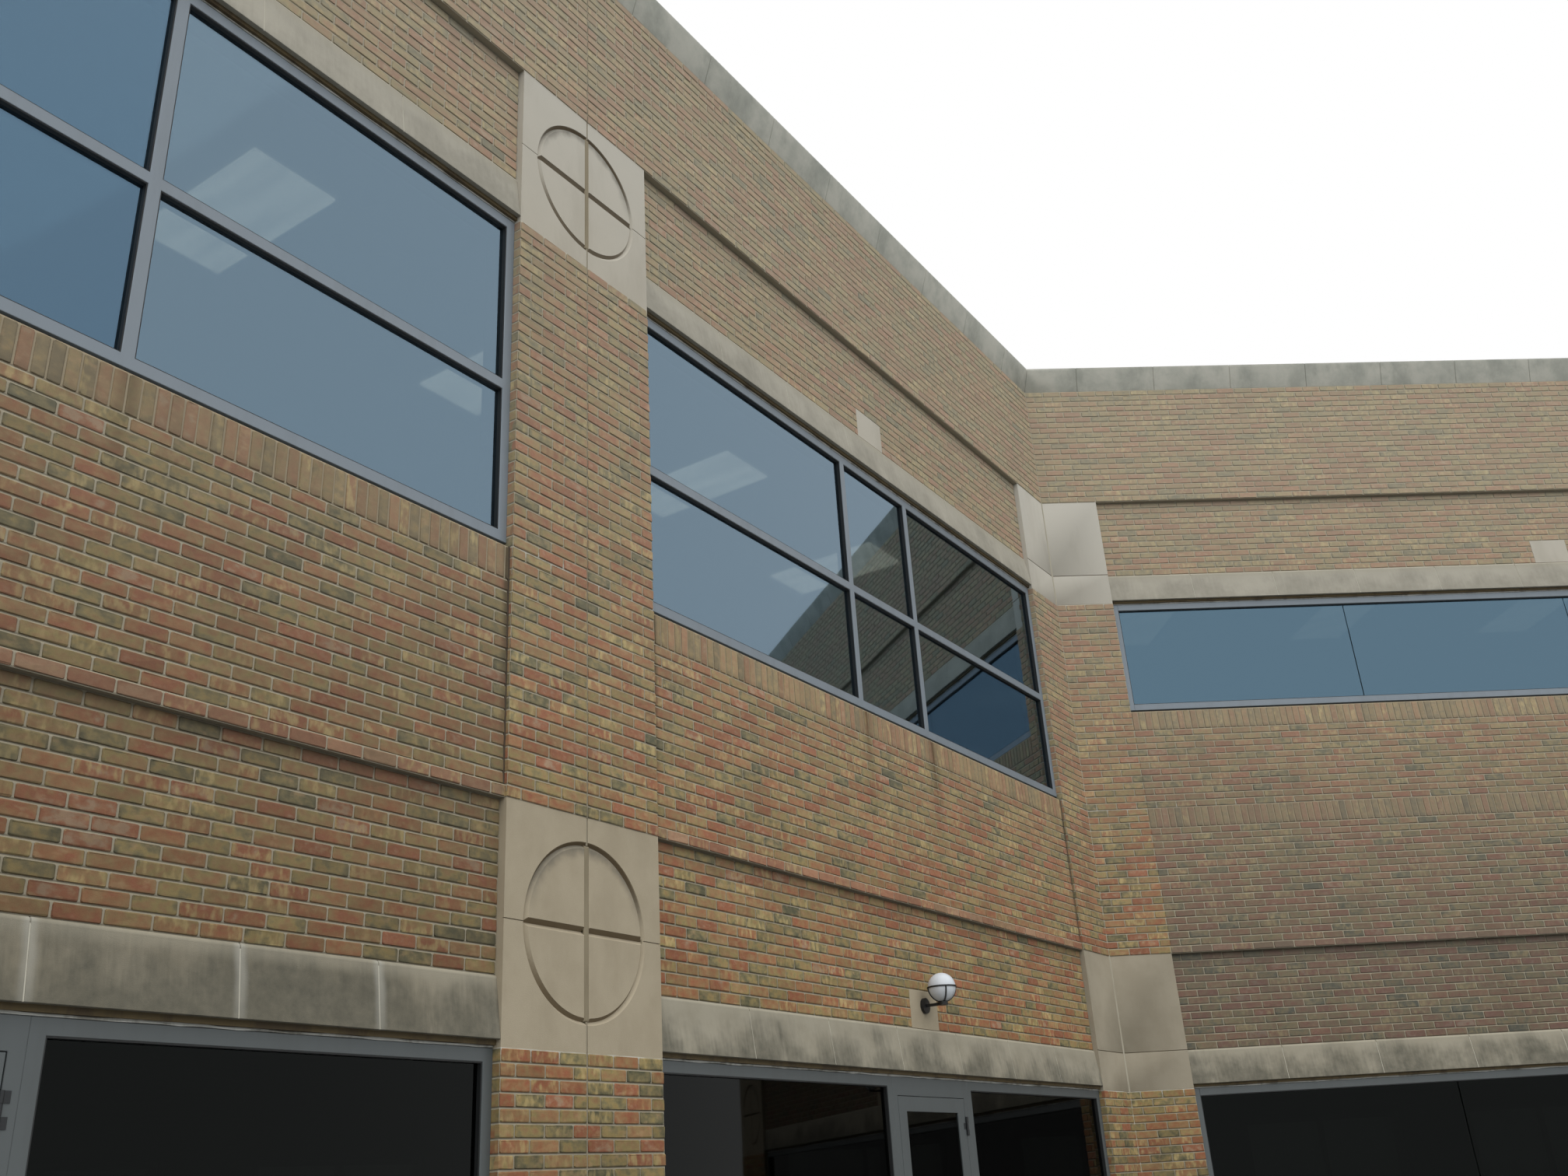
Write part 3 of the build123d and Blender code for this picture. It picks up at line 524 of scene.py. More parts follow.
def mortar_colour(bond, gritty, lime):
    """Mortar, limed in patches, lit on the lower half of each bed joint and shaded on the upper."""
    mortar = mix_colour(gritty["Blotch"], OLD_MORTAR, MORTAR)
    nearest = maths("ROUND", bond.rows)
    limed = sum(maths("COMPARE", nearest, float(bed), 0.1) for bed in LIME_BEDS)
    patchy = fade(noise(bond.spread, 5.0, 3.0), 0.34, 0.56)
    mortar = mix_colour(limed * patchy * lime * 0.85, mortar, LIME)
    mortar = mix_colour(bond.soldier, mortar, SOLDIER_MORTAR)
    in_bed = maths("LESS_THAN", bond.edge_up, JOINT / 2 + 0.002)
    shaded = in_bed * maths("LESS_THAN", bond.part_up, 0.5)
    lit = in_bed - shaded
    level = shaded * (SHADED_LEVEL - UPRIGHT_LEVEL) + lit * (LIT_LEVEL - UPRIGHT_LEVEL) + UPRIGHT_LEVEL
    return scaled(mortar, level)


def weather_and_painted_light(bond, given, colour):
    """Dirt low down, painted shade under the ledges, soft dark runs, and a painted paling towards the top
    that stands in for haze.
    """
    # Painted shade: the courses just under each ledge are darkened
    under_ledge_shade_mask = fade(maths("FLOORED_MODULO", bond.rows, float(STOREY)), *UNDER_LEDGE_SHADE_ROWS)
    colour = mix_colour(under_ledge_shade_mask * given["Shelter"] * UNDER_LEDGE_SHADE, colour, SOOT_AND_SHADE)
    grimy = 1.0 - fade(bond.up, *GRIMY)
    colour = mix_colour(grimy * given["Grime"], colour, given["Grime Tone"])
    splashed = 1.0 - fade(bond.up, *SPLASHED)
    colour = mix_colour(splashed * SPLASHED_DIRT, colour, SOOT_AND_SHADE)
    dirt = run_mask(bond.spread, 2.2, 0.5)
    colour = mix_colour(dirt * RUN_DIRT, colour, SOOT_AND_SHADE)
    # Painted light: paler towards the top, standing in for haze over the upper wall
    return mix_colour(fade(bond.up, *BRICK_HAZE_HEIGHTS) * HAZE_AMOUNT, colour, PALE_STAIN_AND_HAZE)


def make_brick_bond():
    """Stretcher bond: each brick's own colours, raked joints between and rows of soldiers."""
    given = new_group(
        "brick_bond",
        {"Place": PLACE, "By Facing": 0.0, "Returns": 0.0, "Joints": 1.0, "Soldiers": 0.0, "Ledges": 0.0,
         "Lime": 0.0, "Shelter": 0.0, "Grime": 0.0, "Grime Tone": SOOT_AND_SHADE},
        {"Color": COLOUR, "Height": NUMBER, "Roughness": NUMBER})
    bond = lay_out_bond(given)
    gritty = grit(bond.spread, 240.0)
    fine = gritty["Fine"]
    mottle = noise(bond.shifted, 30.0, 2.0, 0.6)
    level = ranged(maths("FRACT", bond.blue * 5.3), *BRICK_LEVELS) * ranged(mottle, *MOTTLE_LEVELS)
    # Painted shade: each brick is darker along its foot
    level = level * ranged(fine, *GRIT_LEVELS) * ranged(fade(bond.part_up, 0.06, 0.26), *FOOT_SHADE_LEVELS)
    body = brick_outline(bond, given["Joints"])
    brick = scaled(brick_colour(bond, given["Ledges"]), level)
    colour = mix_colour(body, mortar_colour(bond, gritty, given["Lime"]), brick)
    return close_group({
        "Color": weather_and_painted_light(bond, given, colour),
        "Height": mottle * 0.30 + body + fine * 0.14,
        "Roughness": ranged(fine, 0.80, 0.95)})


brick_bond = make_brick_bond()


# Materials, kept by name
FINISHES = {}

# Stains on the brick: (bricks along, top, width, length, strength, colour). Under two mullions
# a narrow drip of rust lies in a soft dark run
UNDER_SILLS = 5.02
UNDER_GLOBES = 3.56
BAY_STAINS = [
    (-20.81, UNDER_SILLS, 0.03, 0.45, 0.75, RUST_RUN),
    (-20.81, UNDER_SILLS, 0.12, 1.2, 0.35, SOOT_AND_SHADE),
    (-15.69, UNDER_SILLS, 0.03, 0.60, 0.85, RUST_RUN),
    (-15.69, UNDER_SILLS, 0.14, 1.5, 0.40, SOOT_AND_SHADE),
    # The three narrow dark runs at the ends of the corner and outer bays are painted shadow of the joints
    # there, with some dirt
    (-33.42, UNDER_SILLS, 0.05, 1.9, 0.75, SOOT_AND_SHADE),
    (-3.08, UNDER_SILLS, 0.04, 1.9, 0.80, SOOT_AND_SHADE),
    (-39.58, UNDER_SILLS, 0.05, 1.7, 0.80, SOOT_AND_SHADE),
    (-50.7, UNDER_SILLS, 0.09, 0.8, 0.40, SOOT_AND_SHADE),
    (-55.8, UNDER_SILLS, 0.09, 0.8, 0.40, SOOT_AND_SHADE),
    (-18.25, UNDER_GLOBES, 0.16, 0.62, 0.30, PALE_STAIN_AND_HAZE),
]


def new_finish(name, **constants):
    """A material with the constants set on its Principled BSDF. Gives back that node and the place."""
    material = bpy.data.materials.new(name)
    material.use_nodes = True
    FINISHES[name] = material
    shader = material.node_tree.nodes["Principled BSDF"]
    set_inputs(shader, {key.replace("_", " "): value for key, value in constants.items()})
    return shader, outputs(add_node(material.node_tree, "ShaderNodeTexCoord"))["Object"]


def brick_finish(name, depth=0.004, stains=(), **choices):
    """Brick, with what the bond is given, such as its soldiers or its grime, chosen by name."""
    shader, place = new_finish(name, Specular_IOR_Level=0.25)
    choices = {key.replace("_", " ").title(): value for key, value in choices.items()}
    bond = use_group(brick_bond, {"Place": place, **choices})
    colour = bond["Color"]
    if stains:
        run = use_group(wing_run, {"Place": place})
        for bricks, top, width, length, strength, tone in stains:
            mask = streak_mask(run, bricks * BRICK, top, width, length)
            colour = mix_colour(mask * strength, colour, tone)
    set_inputs(shader, {
        "Base Color": colour, "Roughness": bond["Roughness"], "Normal": bump(bond["Height"], depth)})


def start_stone(name, pale, dark, haze_paling):
    """Cast stone's own colour, soft blotches of two tones and fine pores, with a painted paling towards the
    top that stands in for haze.
    """
    shader, place = new_finish(name, Specular_IOR_Level=0.3)
    run = use_group(wing_run, {"Place": place})
    gritty = grit(place, 320.0)
    colour = mix_colour(fade(gritty["Blotch"], 0.35, 0.7), linear(*pale), linear(*dark))
    colour = scaled(colour, ranged(gritty["Fine"], 0.90, 1.10))
    return shader, run, gritty, mix_colour(fade(run["Up"], *STONE_HAZE_HEIGHTS) * haze_paling, colour, STONE_HAZE_PALE)


def finish_stone(shader, gritty, colour):
    fine = gritty["Fine"]
    set_inputs(shader, {
        "Base Color": colour, "Roughness": ranged(fine, 0.70, 0.90), "Normal": bump(fine, 0.0012)})


def stone_finish(name, pale, dark, stain, amount=0.5, width=3.4, length=1.1):
    """Plain stone or concrete with grey runs."""
    shader, run, gritty, colour = start_stone(name, pale, dark, 0.0)
    stained = run_mask(spread_out(run), width, length) * amount
    finish_stone(shader, gritty, mix_colour(stained, colour, linear(*stain)))


# Dirt in the rings: where it fades in and ends, from the ring's edge, and how high over the middle
RING_DIRT = (RING_RADIUS - 0.03, RING_RADIUS + 0.05)
RING_DIRT_END = RING_RADIUS + 0.014
RING_DIRT_HEIGHTS = (0.02, 0.30)


def panel_finish(name, pale, dark, haze_paling):
    """Cast stone with grey dirt caught under the upper arc of each ring, and brown painted shade with some
    dirt on every face that looks down, as in the grooves.
    """
    shader, run, gritty, colour = start_stone(name, pale, dark, haze_paling)
    spread = spread_out(run)
    up = maths("FLOORED_MODULO", run["Up"] - (RING_LEVEL - STOREY / 2) * COURSE, STOREY * COURSE)
    up = up - STOREY / 2 * COURSE
    off = None
    for pier in (OUTER_PIER, MIDDLE_PIER, STRIP_PIER):
        here = maths("ABSOLUTE", run["Along"] - middle(pier) * BRICK)
        off = here if off is None else maths("MINIMUM", off, here)
    radius = vector_maths("LENGTH", combined(off, up))
    reach = noise(spread, 7.0, 3.0, 0.6) * 0.10 + radius
    inside = fade(reach, *RING_DIRT) * maths("LESS_THAN", radius, RING_DIRT_END)
    dirt = inside * fade(up, *RING_DIRT_HEIGHTS) * 0.75
    colour = mix_colour(dirt, colour, linear(92, 89, 80))
    # Painted shade with some dirt: every face that looks down turns dark brown
    facing_down = parted(true_normal(colour.tree))["Z"] * -1.0
    colour = mix_colour(fade(facing_down, 0.12, 0.55) * 0.70, colour, linear(86, 67, 38))
    stained = run_mask(spread, 3.0, 0.9) * 0.14
    finish_stone(shader, gritty, mix_colour(stained, colour, linear(122, 112, 94)))


# The lintels grow dingier past the middle pier and low down: the metres that this fades between
PAST_PIER = (36 * BRICK, 44 * BRICK)
LOW_DOWN = (3.0, 6.0)

# Width and length of the lime run out of each joint
LIME_RUN = (0.045, 0.6)


def lintel_finish(name):
    """Cast stone with soft dark blotches that thicken towards the drip edge, most on the lower ones."""
    shader, run, gritty, colour = start_stone(name, (155, 149, 133), (144, 138, 122), 0.52)
    spread = spread_out(run)
    up = (maths("FLOORED_MODULO", run["Up"], STOREY * COURSE) - LINTEL_FOOT) / LINTEL_HEIGHT
    low = 1.0 - fade(run["Up"], *LOW_DOWN)
    dingy = fade(run["Along"] * -1.0, *PAST_PIER) * low
    colour = mix_colour(dingy * 0.36, colour, linear(100, 89, 67))
    fine = noise(stretched(spread, 34.0, 1.0, 4.0), 1.0, 4.0, 0.65)
    reach = noise(spread, 2.1, 4.0, 0.6) - up * 0.26 + fine * 0.26 + dingy * 0.13
    mottled = ranged(noise(spread, 14.0, 4.0, 0.65), 0.35, 1.25)
    stained = fade(reach, 0.36, 0.70) * mottled * ranged(low, 0.38, 0.90)
    colour = mix_colour(stained, colour, linear(78, 77, 68))
    colour = mix_colour(fade(up, 0.70, 0.95) * 0.45, colour, linear(162, 156, 139))
    for distance in OUTER_LINTEL_JOINTS:
        joint = OUTER_BAY[1] * BRICK - distance
        limed = streak_mask(run, joint, LINTEL_FOOT + LINTEL_HEIGHT, *LIME_RUN)
        colour = mix_colour(limed * 0.55, colour, linear(170, 168, 158))
    finish_stone(shader, gritty, colour)


def metal_finish(name, colour, worn, metallic, roughness, amount=0.35):
    """Metal, rubber, sealant or mortar, worn in runs."""
    shader, place = new_finish(name, Metallic=metallic)
    gritty = grit(place, 420.0)
    set_inputs(shader, {
        "Base Color": mix_colour(run_mask(place, 9.0, 1.5) * amount, linear(*colour), linear(*worn)),
        "Roughness": ranged(gritty["Blotch"], roughness - 0.11, roughness + 0.11),
        "Normal": bump(gritty["Fine"], 0.0003, 0.5)})


def glass_finish(name, body, ior, tint):
    """Coated glass that mirrors what is round it and lets a little of the inside through. The blue tint on
    its reflections paints the sky, and soft blotches in its colour paint clouds mirrored in it.
    """
    shader, place = new_finish(
        name, Roughness=0.02, IOR=ior, Transmission_Weight=1.0, Specular_Tint=linear(*tint))
    body = linear(*body)
    # Painted reflection: soft blotches in the colour stand in for mirrored clouds
    shade = mix_colour(grit(place, 30.0)["Blotch"], darker(body, 0.8), body)
    set_inputs(shader, {"Base Color": shade, "Normal": bump(noise(place, 0.9, 1.0), 0.002, 0.4)})


def glowing(name, colour, strength, roughness=0.25, louvres=0.0):
    """A plain bright cover, banded where louvres lie across it."""
    shader, place = new_finish(name, Roughness=roughness, Emission_Strength=strength)
    colour = linear(*colour)
    shade = mix_colour(grit(place, 60.0)["Blotch"], darker(colour, 0.9), colour)
    if louvres:
        bands = noise(stretched(place, 7.0, 1.2, 1.0), 1.0, 1.0) * (-2.0 * louvres) + 1.0
        shade = scaled(shade, bands)
    set_inputs(shader, {"Base Color": shade, "Emission Color": shade})


brick_finish("brick_wall", returns=1.0, lime=1.0)
# Recess brick takes painted shade under the ledges
brick_finish("brick_recess", returns=1.0, shelter=1.0, grime=0.10)
brick_finish("brick_spandrel", returns=1.0, soldiers=1.0, ledges=1.0, lime=1.0)
brick_finish("brick_rear_wall", by_facing=1.0)
brick_finish("pier_bricks", 0.003, joints=0.0)
for bay, recess_grime, bay_grime, film in (
        ("corner", 0.0, 0.0, SOOT_AND_SHADE), ("outer", 0.40, 0.36, SOOT_AND_SHADE), ("strip", 0.60, 0.55, GREY_FILM)):
    brick_finish(bay + "_recess_bricks", 0.003, joints=0.0, shelter=1.0,
                 grime=recess_grime, grime_tone=film)
    brick_finish(bay + "_bay_bricks", 0.003, BAY_STAINS, joints=0.0, soldiers=1.0, ledges=1.0,
                 grime=bay_grime, grime_tone=film)
# The last number is how far painted haze pales each stone towards the top
panel_finish("panel_stone", (165, 154, 133), (158, 147, 126), 0.85)
panel_finish("corner_stone", (154, 146, 129), (147, 139, 122), 1.0)
lintel_finish("lintel_stone")
stone_finish("coping_stone", (180, 179, 169), (159, 160, 151), (124, 128, 120), 0.45, 2.6, 1.6)
stone_finish("plain_concrete", (150, 148, 142), (130, 128, 122), (100, 98, 92), 0.3)
stone_finish("ceiling_board", (190, 190, 184), (180, 180, 174), (160, 160, 150), 0.1)
stone_finish("roofing_sheet", (92, 92, 92), (78, 78, 78), (60, 60, 58), 0.4)
metal_finish("anodised_aluminium", (122, 131, 139), (108, 115, 120), 0.15, 0.50, 0.25)
# The ground floor aluminium is the anodised aluminium darkened with painted shade under the lintels
metal_finish("ground_aluminium_painted_shade", (81, 86, 87), (72, 75, 75), 0.15, 0.50, 0.25)
metal_finish("dark_flashing", (40, 42, 44), (26, 26, 26), 0.4, 0.5)
metal_finish("black_light_fitting", (30, 30, 30), (52, 48, 42), 0.3, 0.5)
# Black rubber, which as a deep lining round each pane also paints the shade in the window reveals
metal_finish("black_gasket_and_reveal_shade", (20, 22, 23), (34, 34, 34), 0.0, 0.6)
metal_finish("satin_steel", (170, 170, 168), (130, 130, 128), 1.0, 0.35)
metal_finish("rusted_lintel_steel", (80, 68, 44), (54, 43, 27), 0.1, 0.8, 0.8)
metal_finish("head_sealant", (180, 180, 175), (116, 112, 100), 0.0, 0.7, 0.75)
metal_finish("joint_sealant", (134, 126, 108), (112, 102, 84), 0.0, 0.75, 0.6)
# Dark sealant at the spandrel ends, its darkness partly painted shadow of those joints
metal_finish("bay_joint_sealant_and_shade", (72, 62, 50), (54, 46, 38), 0.0, 0.8, 0.6)
metal_finish("corner_sealant", (158, 152, 136), (136, 128, 110), 0.0, 0.75, 0.6)
metal_finish("ring_sealant", (130, 120, 99), (114, 104, 84), 0.0, 0.8, 0.6)
metal_finish("lime_mortar", (184, 180, 166), (146, 140, 124), 0.0, 0.9, 0.5)
# Painted reflection: the reflection tints and strengths, set group by group of panes, paint the sky and
# clouds the glass mirrors
glass_finish("upper_window_glass", (80, 86, 88), 3.0, (192, 228, 255))
glass_finish("outer_window_glass", (74, 84, 88), 2.7, (170, 217, 255))
glass_finish("strip_window_glass", (30, 34, 36), 2.8, (176, 222, 252))
glass_finish("ground_window_glass", (30, 34, 32), 1.22, (230, 240, 236))
glowing("opal_globe", (206, 211, 217), 0.0)
glowing("light_panel", (232, 240, 232), 2.3, 0.6, 0.35)

NODE_FINISHES = {
    "brick_wall": ["front_piers", "corner_piers", "front_parapets"],
    "brick_recess": ["recess_walls"],
    "brick_spandrel": ["spandrel_walls"],
    "brick_rear_wall": ["rear_wall_entrance_wing", "rear_wall_strip_wing", "end_wall_entrance_wing",
                        "end_wall_strip_wing"],
    "panel_stone": ["circle_panels", "accent_blocks"],
    "corner_stone": ["corner_panels"],
    "lintel_stone": ["stone_lintels", "rear_lintels"],
    "coping_stone": ["front_coping", "side_coping"],
    "anodised_aluminium": ["upper_window_frames", "strip_window_frames", "rear_window_frames"],
    "ground_aluminium_painted_shade": ["door_frames", "side_light_frames", "door_1_leaf", "door_2_leaf"],
    "dark_flashing": ["sill_flashings", "door_1_hinges", "door_2_hinges", "post_hinges"],
    "black_light_fitting": ["light_brackets"],
    "satin_steel": ["door_1_handles", "door_2_handles"],
    "rusted_lintel_steel": ["lintel_angles"],
    "head_sealant": ["head_sealant"],
    "upper_window_glass": ["upper_window_glass", "rear_window_glass"],
    "strip_window_glass": ["strip_window_glass"],
    "ground_window_glass": ["side_light_glass", "door_1_glass", "door_2_glass"],
    "plain_concrete": ["frontage_kerbs", "ground_floor", "upper_floor"],
    "roofing_sheet": ["roof_slab"],
    "ceiling_board": ["upper_ceiling"],
    "opal_globe": ["light_globes"],
    "light_panel": ["ceiling_lights"],
}


def give_finish(piece, finish):
    piece.data.materials.clear()
    piece.data.materials.append(FINISHES[finish])


for node_finish, node_names in NODE_FINISHES.items():
    for node_name in node_names:
        give_finish(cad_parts[node_name], node_finish)


# Modelling helpers


def take(piece):
    """Makes a piece the active one and the only one selected."""
    bpy.ops.object.select_all(action="DESELECT")
    piece.select_set(True)
    bpy.context.view_layer.objects.active = piece


def pick(piece, kind, test):
    """Goes into edit mode with just the faces or edges selected that pass a test."""
    bpy.ops.object.mode_set(mode="EDIT")
    bpy.ops.mesh.select_mode(type=kind)
    bpy.ops.mesh.select_all(action="DESELECT")
    bpy.ops.object.mode_set(mode="OBJECT")
    for part in piece.data.polygons if kind == "FACE" else piece.data.edges:
        part.select = test(part)
    bpy.ops.object.mode_set(mode="EDIT")


def pick_front(piece):
    pick(piece, "FACE", lambda face: face.normal.y < -0.5)


def pick_edges(piece, test):
    """Picks the edges whose run passes a test."""
    def run(edge):
        first, last = (piece.data.vertices[number].co for number in edge.vertices)
        return last - first
    pick(piece, "EDGE", lambda edge: test(run(edge)))


def edit_all():
    bpy.ops.object.mode_set(mode="EDIT")
    bpy.ops.mesh.select_all(action="SELECT")


def leave_editing():
    bpy.ops.object.mode_set(mode="OBJECT")


def bevel_picked(width, segments=1):
    bpy.ops.mesh.bevel(offset=width, segments=segments, affect="EDGES")
    leave_editing()


def block(low, high):
    """A plain block between two corners, as the active object."""
    bpy.ops.object.select_all(action="DESELECT")
    low, high = Vector(low), Vector(high)
    bpy.ops.mesh.primitive_cube_add(size=1, location=(low + high) / 2)
    piece = bpy.context.object
    piece.scale = high - low
    bpy.ops.object.transform_apply(location=True, rotation=True, scale=True)
    return piece


def repeat(piece, count, step):
    if count < 2:
        return
    array = piece.modifiers.new("rows", "ARRAY")
    array.count = count
    array.use_relative_offset = False
    array.use_constant_offset = True
    array.constant_offset_displace = step
    bpy.ops.object.modifier_apply(modifier=array.name)


def joined(pieces):
    take(pieces[0])
    for piece in pieces:
        piece.select_set(True)
    if len(pieces) > 1:
        bpy.ops.object.join()
    return bpy.context.object


def dress(piece, name, finish, body):
    """Names a piece, gives it its finish and its body."""
    piece.name = name
    piece.data.name = name
    give_finish(piece, finish)
    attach(piece, body)


def put_on(piece, wall, name, finish):
    """Moves a piece made in a wall's own axes to its place, and dresses it."""
    take(piece)
    piece.matrix_world = wall
    bpy.ops.object.transform_apply(location=True, rotation=True, scale=True)
    dress(piece, name, finish, "structure")


# Arrises taken off the stone, the metal and the glass, in metres
STONE_ARRIS = 0.003
FINE_ARRIS = 0.002
PANE_ARRIS = 0.001


def softened(node, name, finish, width, body="structure", keep=None):
    """A copy of a CAD node, or of the faces of it to keep, with every sharp edge taken off."""
    piece = bpy.data.objects.new(name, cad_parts[node].data.copy())
    bpy.context.scene.collection.objects.link(piece)
    take(piece)
    if keep:
        pick(piece, "FACE", lambda face: not keep(face.center))
        bpy.ops.mesh.delete(type="FACE")
        leave_editing()
    bpy.ops.mesh.customdata_custom_splitnormals_clear()
    edit_all()
    bpy.ops.mesh.remove_doubles(threshold=0.0001)
    bpy.ops.mesh.dissolve_limited(angle_limit=math.radians(1))
    bpy.ops.mesh.normals_make_consistent(inside=False)
    leave_editing()
    arris = piece.modifiers.new("arris", "BEVEL")
    arris.width = width
    arris.segments = 1
    arris.limit_method = "ANGLE"
    arris.angle_limit = math.radians(40)
    bpy.ops.object.modifier_apply(modifier=arris.name)
    bpy.ops.object.shade_smooth_by_angle(angle=math.radians(35))
    dress(piece, name, finish, body)
    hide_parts(node)


def soften_edges():
    """Takes the sharpness off the stone, the metal frames and the panes of the upper and strip windows."""
    for node, name, finish, width in (
            ("stone_lintels", "front_stone_lintels", "lintel_stone", STONE_ARRIS),
            ("front_coping", "front_coping_stones", "coping_stone", STONE_ARRIS),
            ("corner_panels", "corner_stone_panels", "corner_stone", FINE_ARRIS),
            ("accent_blocks", "stone_accent_blocks", "panel_stone", FINE_ARRIS)):
        softened(node, name, finish, width)
    for node, name, finish, body in (
            ("upper_window_frames", "upper_aluminium_frames", "anodised_aluminium", "structure"),
            ("side_light_frames", "side_light_aluminium", "ground_aluminium_painted_shade", "structure"),
            ("door_frames", "door_aluminium_frames", "ground_aluminium_painted_shade", "structure"),
            ("door_1_leaf", "door_1_aluminium_leaf", "ground_aluminium_painted_shade", "door_1"),
            ("door_2_leaf", "door_2_aluminium_leaf", "ground_aluminium_painted_shade", "door_2")):
        softened(node, name, finish, FINE_ARRIS, body)
    mullion = CORNER.x + middle(OUTER_BAY) * BRICK + CENTRE_LIGHT / 2
    softened("upper_window_glass", "bright_panes", "upper_window_glass", PANE_ARRIS,
             keep=lambda centre: centre.x > mullion)
    softened("upper_window_glass", "deep_blue_panes", "outer_window_glass", PANE_ARRIS,
             keep=lambda centre: centre.x < mullion)
    softened("strip_window_frames", "strip_upper_frame", "anodised_aluminium",
             FINE_ARRIS, keep=lambda centre: centre.z > STOREY_HEIGHT)
    softened("strip_window_frames", "strip_ground_frame", "ground_aluminium_painted_shade",
             FINE_ARRIS, keep=lambda centre: centre.z < STOREY_HEIGHT)
    softened("strip_window_glass", "strip_upper_panes", "strip_window_glass", PANE_ARRIS,
             keep=lambda centre: centre.z > STOREY_HEIGHT)
    softened("strip_window_glass", "strip_ground_panes", "ground_window_glass", PANE_ARRIS,
             keep=lambda centre: centre.z < STOREY_HEIGHT)


soften_edges()


# Bricks

# Room left beside the bricks: at the bay's ends, beside the stone block and at the corner
BAY_GAP = 0.006
SPANDREL_GAP = 0.011
ACCENT_GAP = 0.002
CORNER_GAP = 0.004
ACCENT_WIDTH_BRICKS = 2
PIER_ROWS = ((0, HEAD), (LEDGE, HEAD + STOREY))
PARAPET_ROWS = (LEDGE + STOREY, COPING)


def trim_ends(low, high):
    """Cuts whatever of the active piece runs past two upright planes, and closes the cuts."""
    bpy.ops.object.mode_set(mode="EDIT")
    for x, way in ((low, -1), (high, 1)):
        bpy.ops.mesh.select_all(action="SELECT")
        bpy.ops.mesh.bisect(plane_co=(x, 0, 0), plane_no=(way, 0, 0), use_fill=True, clear_outer=True)
    leave_editing()


def one_brick(x, z, width, height, setback):
    """A brick with worn front arrises, its face a little proud of the joints."""
    front = setback - BRICK_PROUD
    brick = block((x, front, z), (x + width, front + BRICK_DEPTH, z + height))
    pick_edges(brick, lambda run: abs(run.y) > BRICK_DEPTH / 2)
    bevel_picked(BRICK_CORNER)
    pick_front(brick)
    bevel_picked(BRICK_ARRIS)
    return brick


def brick_rows(span, rows, setback, ends=(0.0, 0.0)):
    """Stretcher courses over a span of bricks, every other course shifted by half a brick."""
    fields = []
    for parity in (0, 1):
        first = rows[0] + (rows[0] + parity) % 2
        count = (rows[1] - first + 1) // 2
        if count < 1:
            continue
        shift = 0.5 if first % 2 == 0 else 0.0
        start = math.floor(span[0] + shift) - shift
        length = math.ceil(span[1] - start)
        brick = one_brick(start * BRICK + JOINT / 2, first * COURSE + JOINT / 2,
                          BRICK - JOINT, COURSE - JOINT, setback)
        repeat(brick, length, (BRICK, 0, 0))
        repeat(brick, count, (0, 0, 2 * COURSE))
        fields.append(brick)
    field = joined(fields)
    left, right = in_metres(span)
    trim_ends(left + ends[0], right - ends[1])
    return field


def soldier_row(span, rows, setback, gap):
    """A course of bricks stood on end."""
    left, right = in_metres(span)
    start = math.floor(left / COURSE)
    length = math.ceil(right / COURSE - start)
    brick = one_brick(start * COURSE + JOINT / 2, rows[0] * COURSE + JOINT / 2,
                      COURSE - JOINT, (rows[1] - rows[0]) * COURSE - JOINT, setback)
    repeat(brick, length, (COURSE, 0, 0))
    trim_ends(left + gap, right - gap)
    return brick


def wear(seed):
    """Puts every corner of the active piece a touch out of line."""
    edit_all()
    bpy.ops.transform.vertex_random(offset=BRICK_WEAR, uniform=1.0, seed=seed)
    leave_editing()


def shaft_bricks(span, ends):
    return [brick_rows(span, rows, 0.0, ends) for rows in PIER_ROWS]


def pier_bricks(span):
    """The brickwork on both sides of a pier's movement joint."""
    left = shaft_bricks((span[0], middle(span)), (0.0, JOINT / 2))
    return left + shaft_bricks((middle(span), span[1]), (JOINT / 2, 0.0))


def parapet_bricks(breaks, ends):
    """The courses over the upper ledge, parted at the movement joints."""
    fields = []
    last = len(breaks) - 2
    for number, span in enumerate(zip(breaks, breaks[1:])):
        left = ends[0] if number == 0 else JOINT / 2
        right = ends[1] if number == last else JOINT / 2
        fields.append(brick_rows(span, PARAPET_ROWS, 0.0, (left, right)))
    return fields


def spandrel_bricks(span, setback, ledge_setback, soldiers):
    """A ledge course, then stretchers up to each row of soldiers."""
    gap = SPANDREL_GAP if setback else BAY_GAP
    gaps = (gap, gap)
    fields = [brick_rows(span, (LEDGE, LEDGE + 1), ledge_setback, gaps)]
    low = LEDGE + 1
    for row in soldiers:
        fields.append(brick_rows(span, (low, row[0]), setback, gaps))
        fields.append(soldier_row(span, row, setback, gap))
        low = row[1]
    return fields


def recess_bricks(span, rise=0):
    """The set-back courses, with room left for the stone block over the lintel."""
    accent = around(middle(span), ACCENT_WIDTH_BRICKS)
    low, top, high = LINTEL_TOP + rise, ACCENT_TOP + rise, LEDGE + rise
    return [
        brick_rows((span[0], accent[0]), (low, top), RECESS, (BAY_GAP, ACCENT_GAP)),
        brick_rows((accent[1], span[1]), (low, top), RECESS, (ACCENT_GAP, BAY_GAP)),
        brick_rows(span, (top, high), RECESS, (BAY_GAP, BAY_GAP)),
    ]


def finish_of_bricks(name):
    bay = name.split("_")[0]
    if "recess" in name:
        return bay + "_recess_bricks"
    if "spandrel" in name:
        return bay + "_bay_bricks"
    return "pier_bricks"


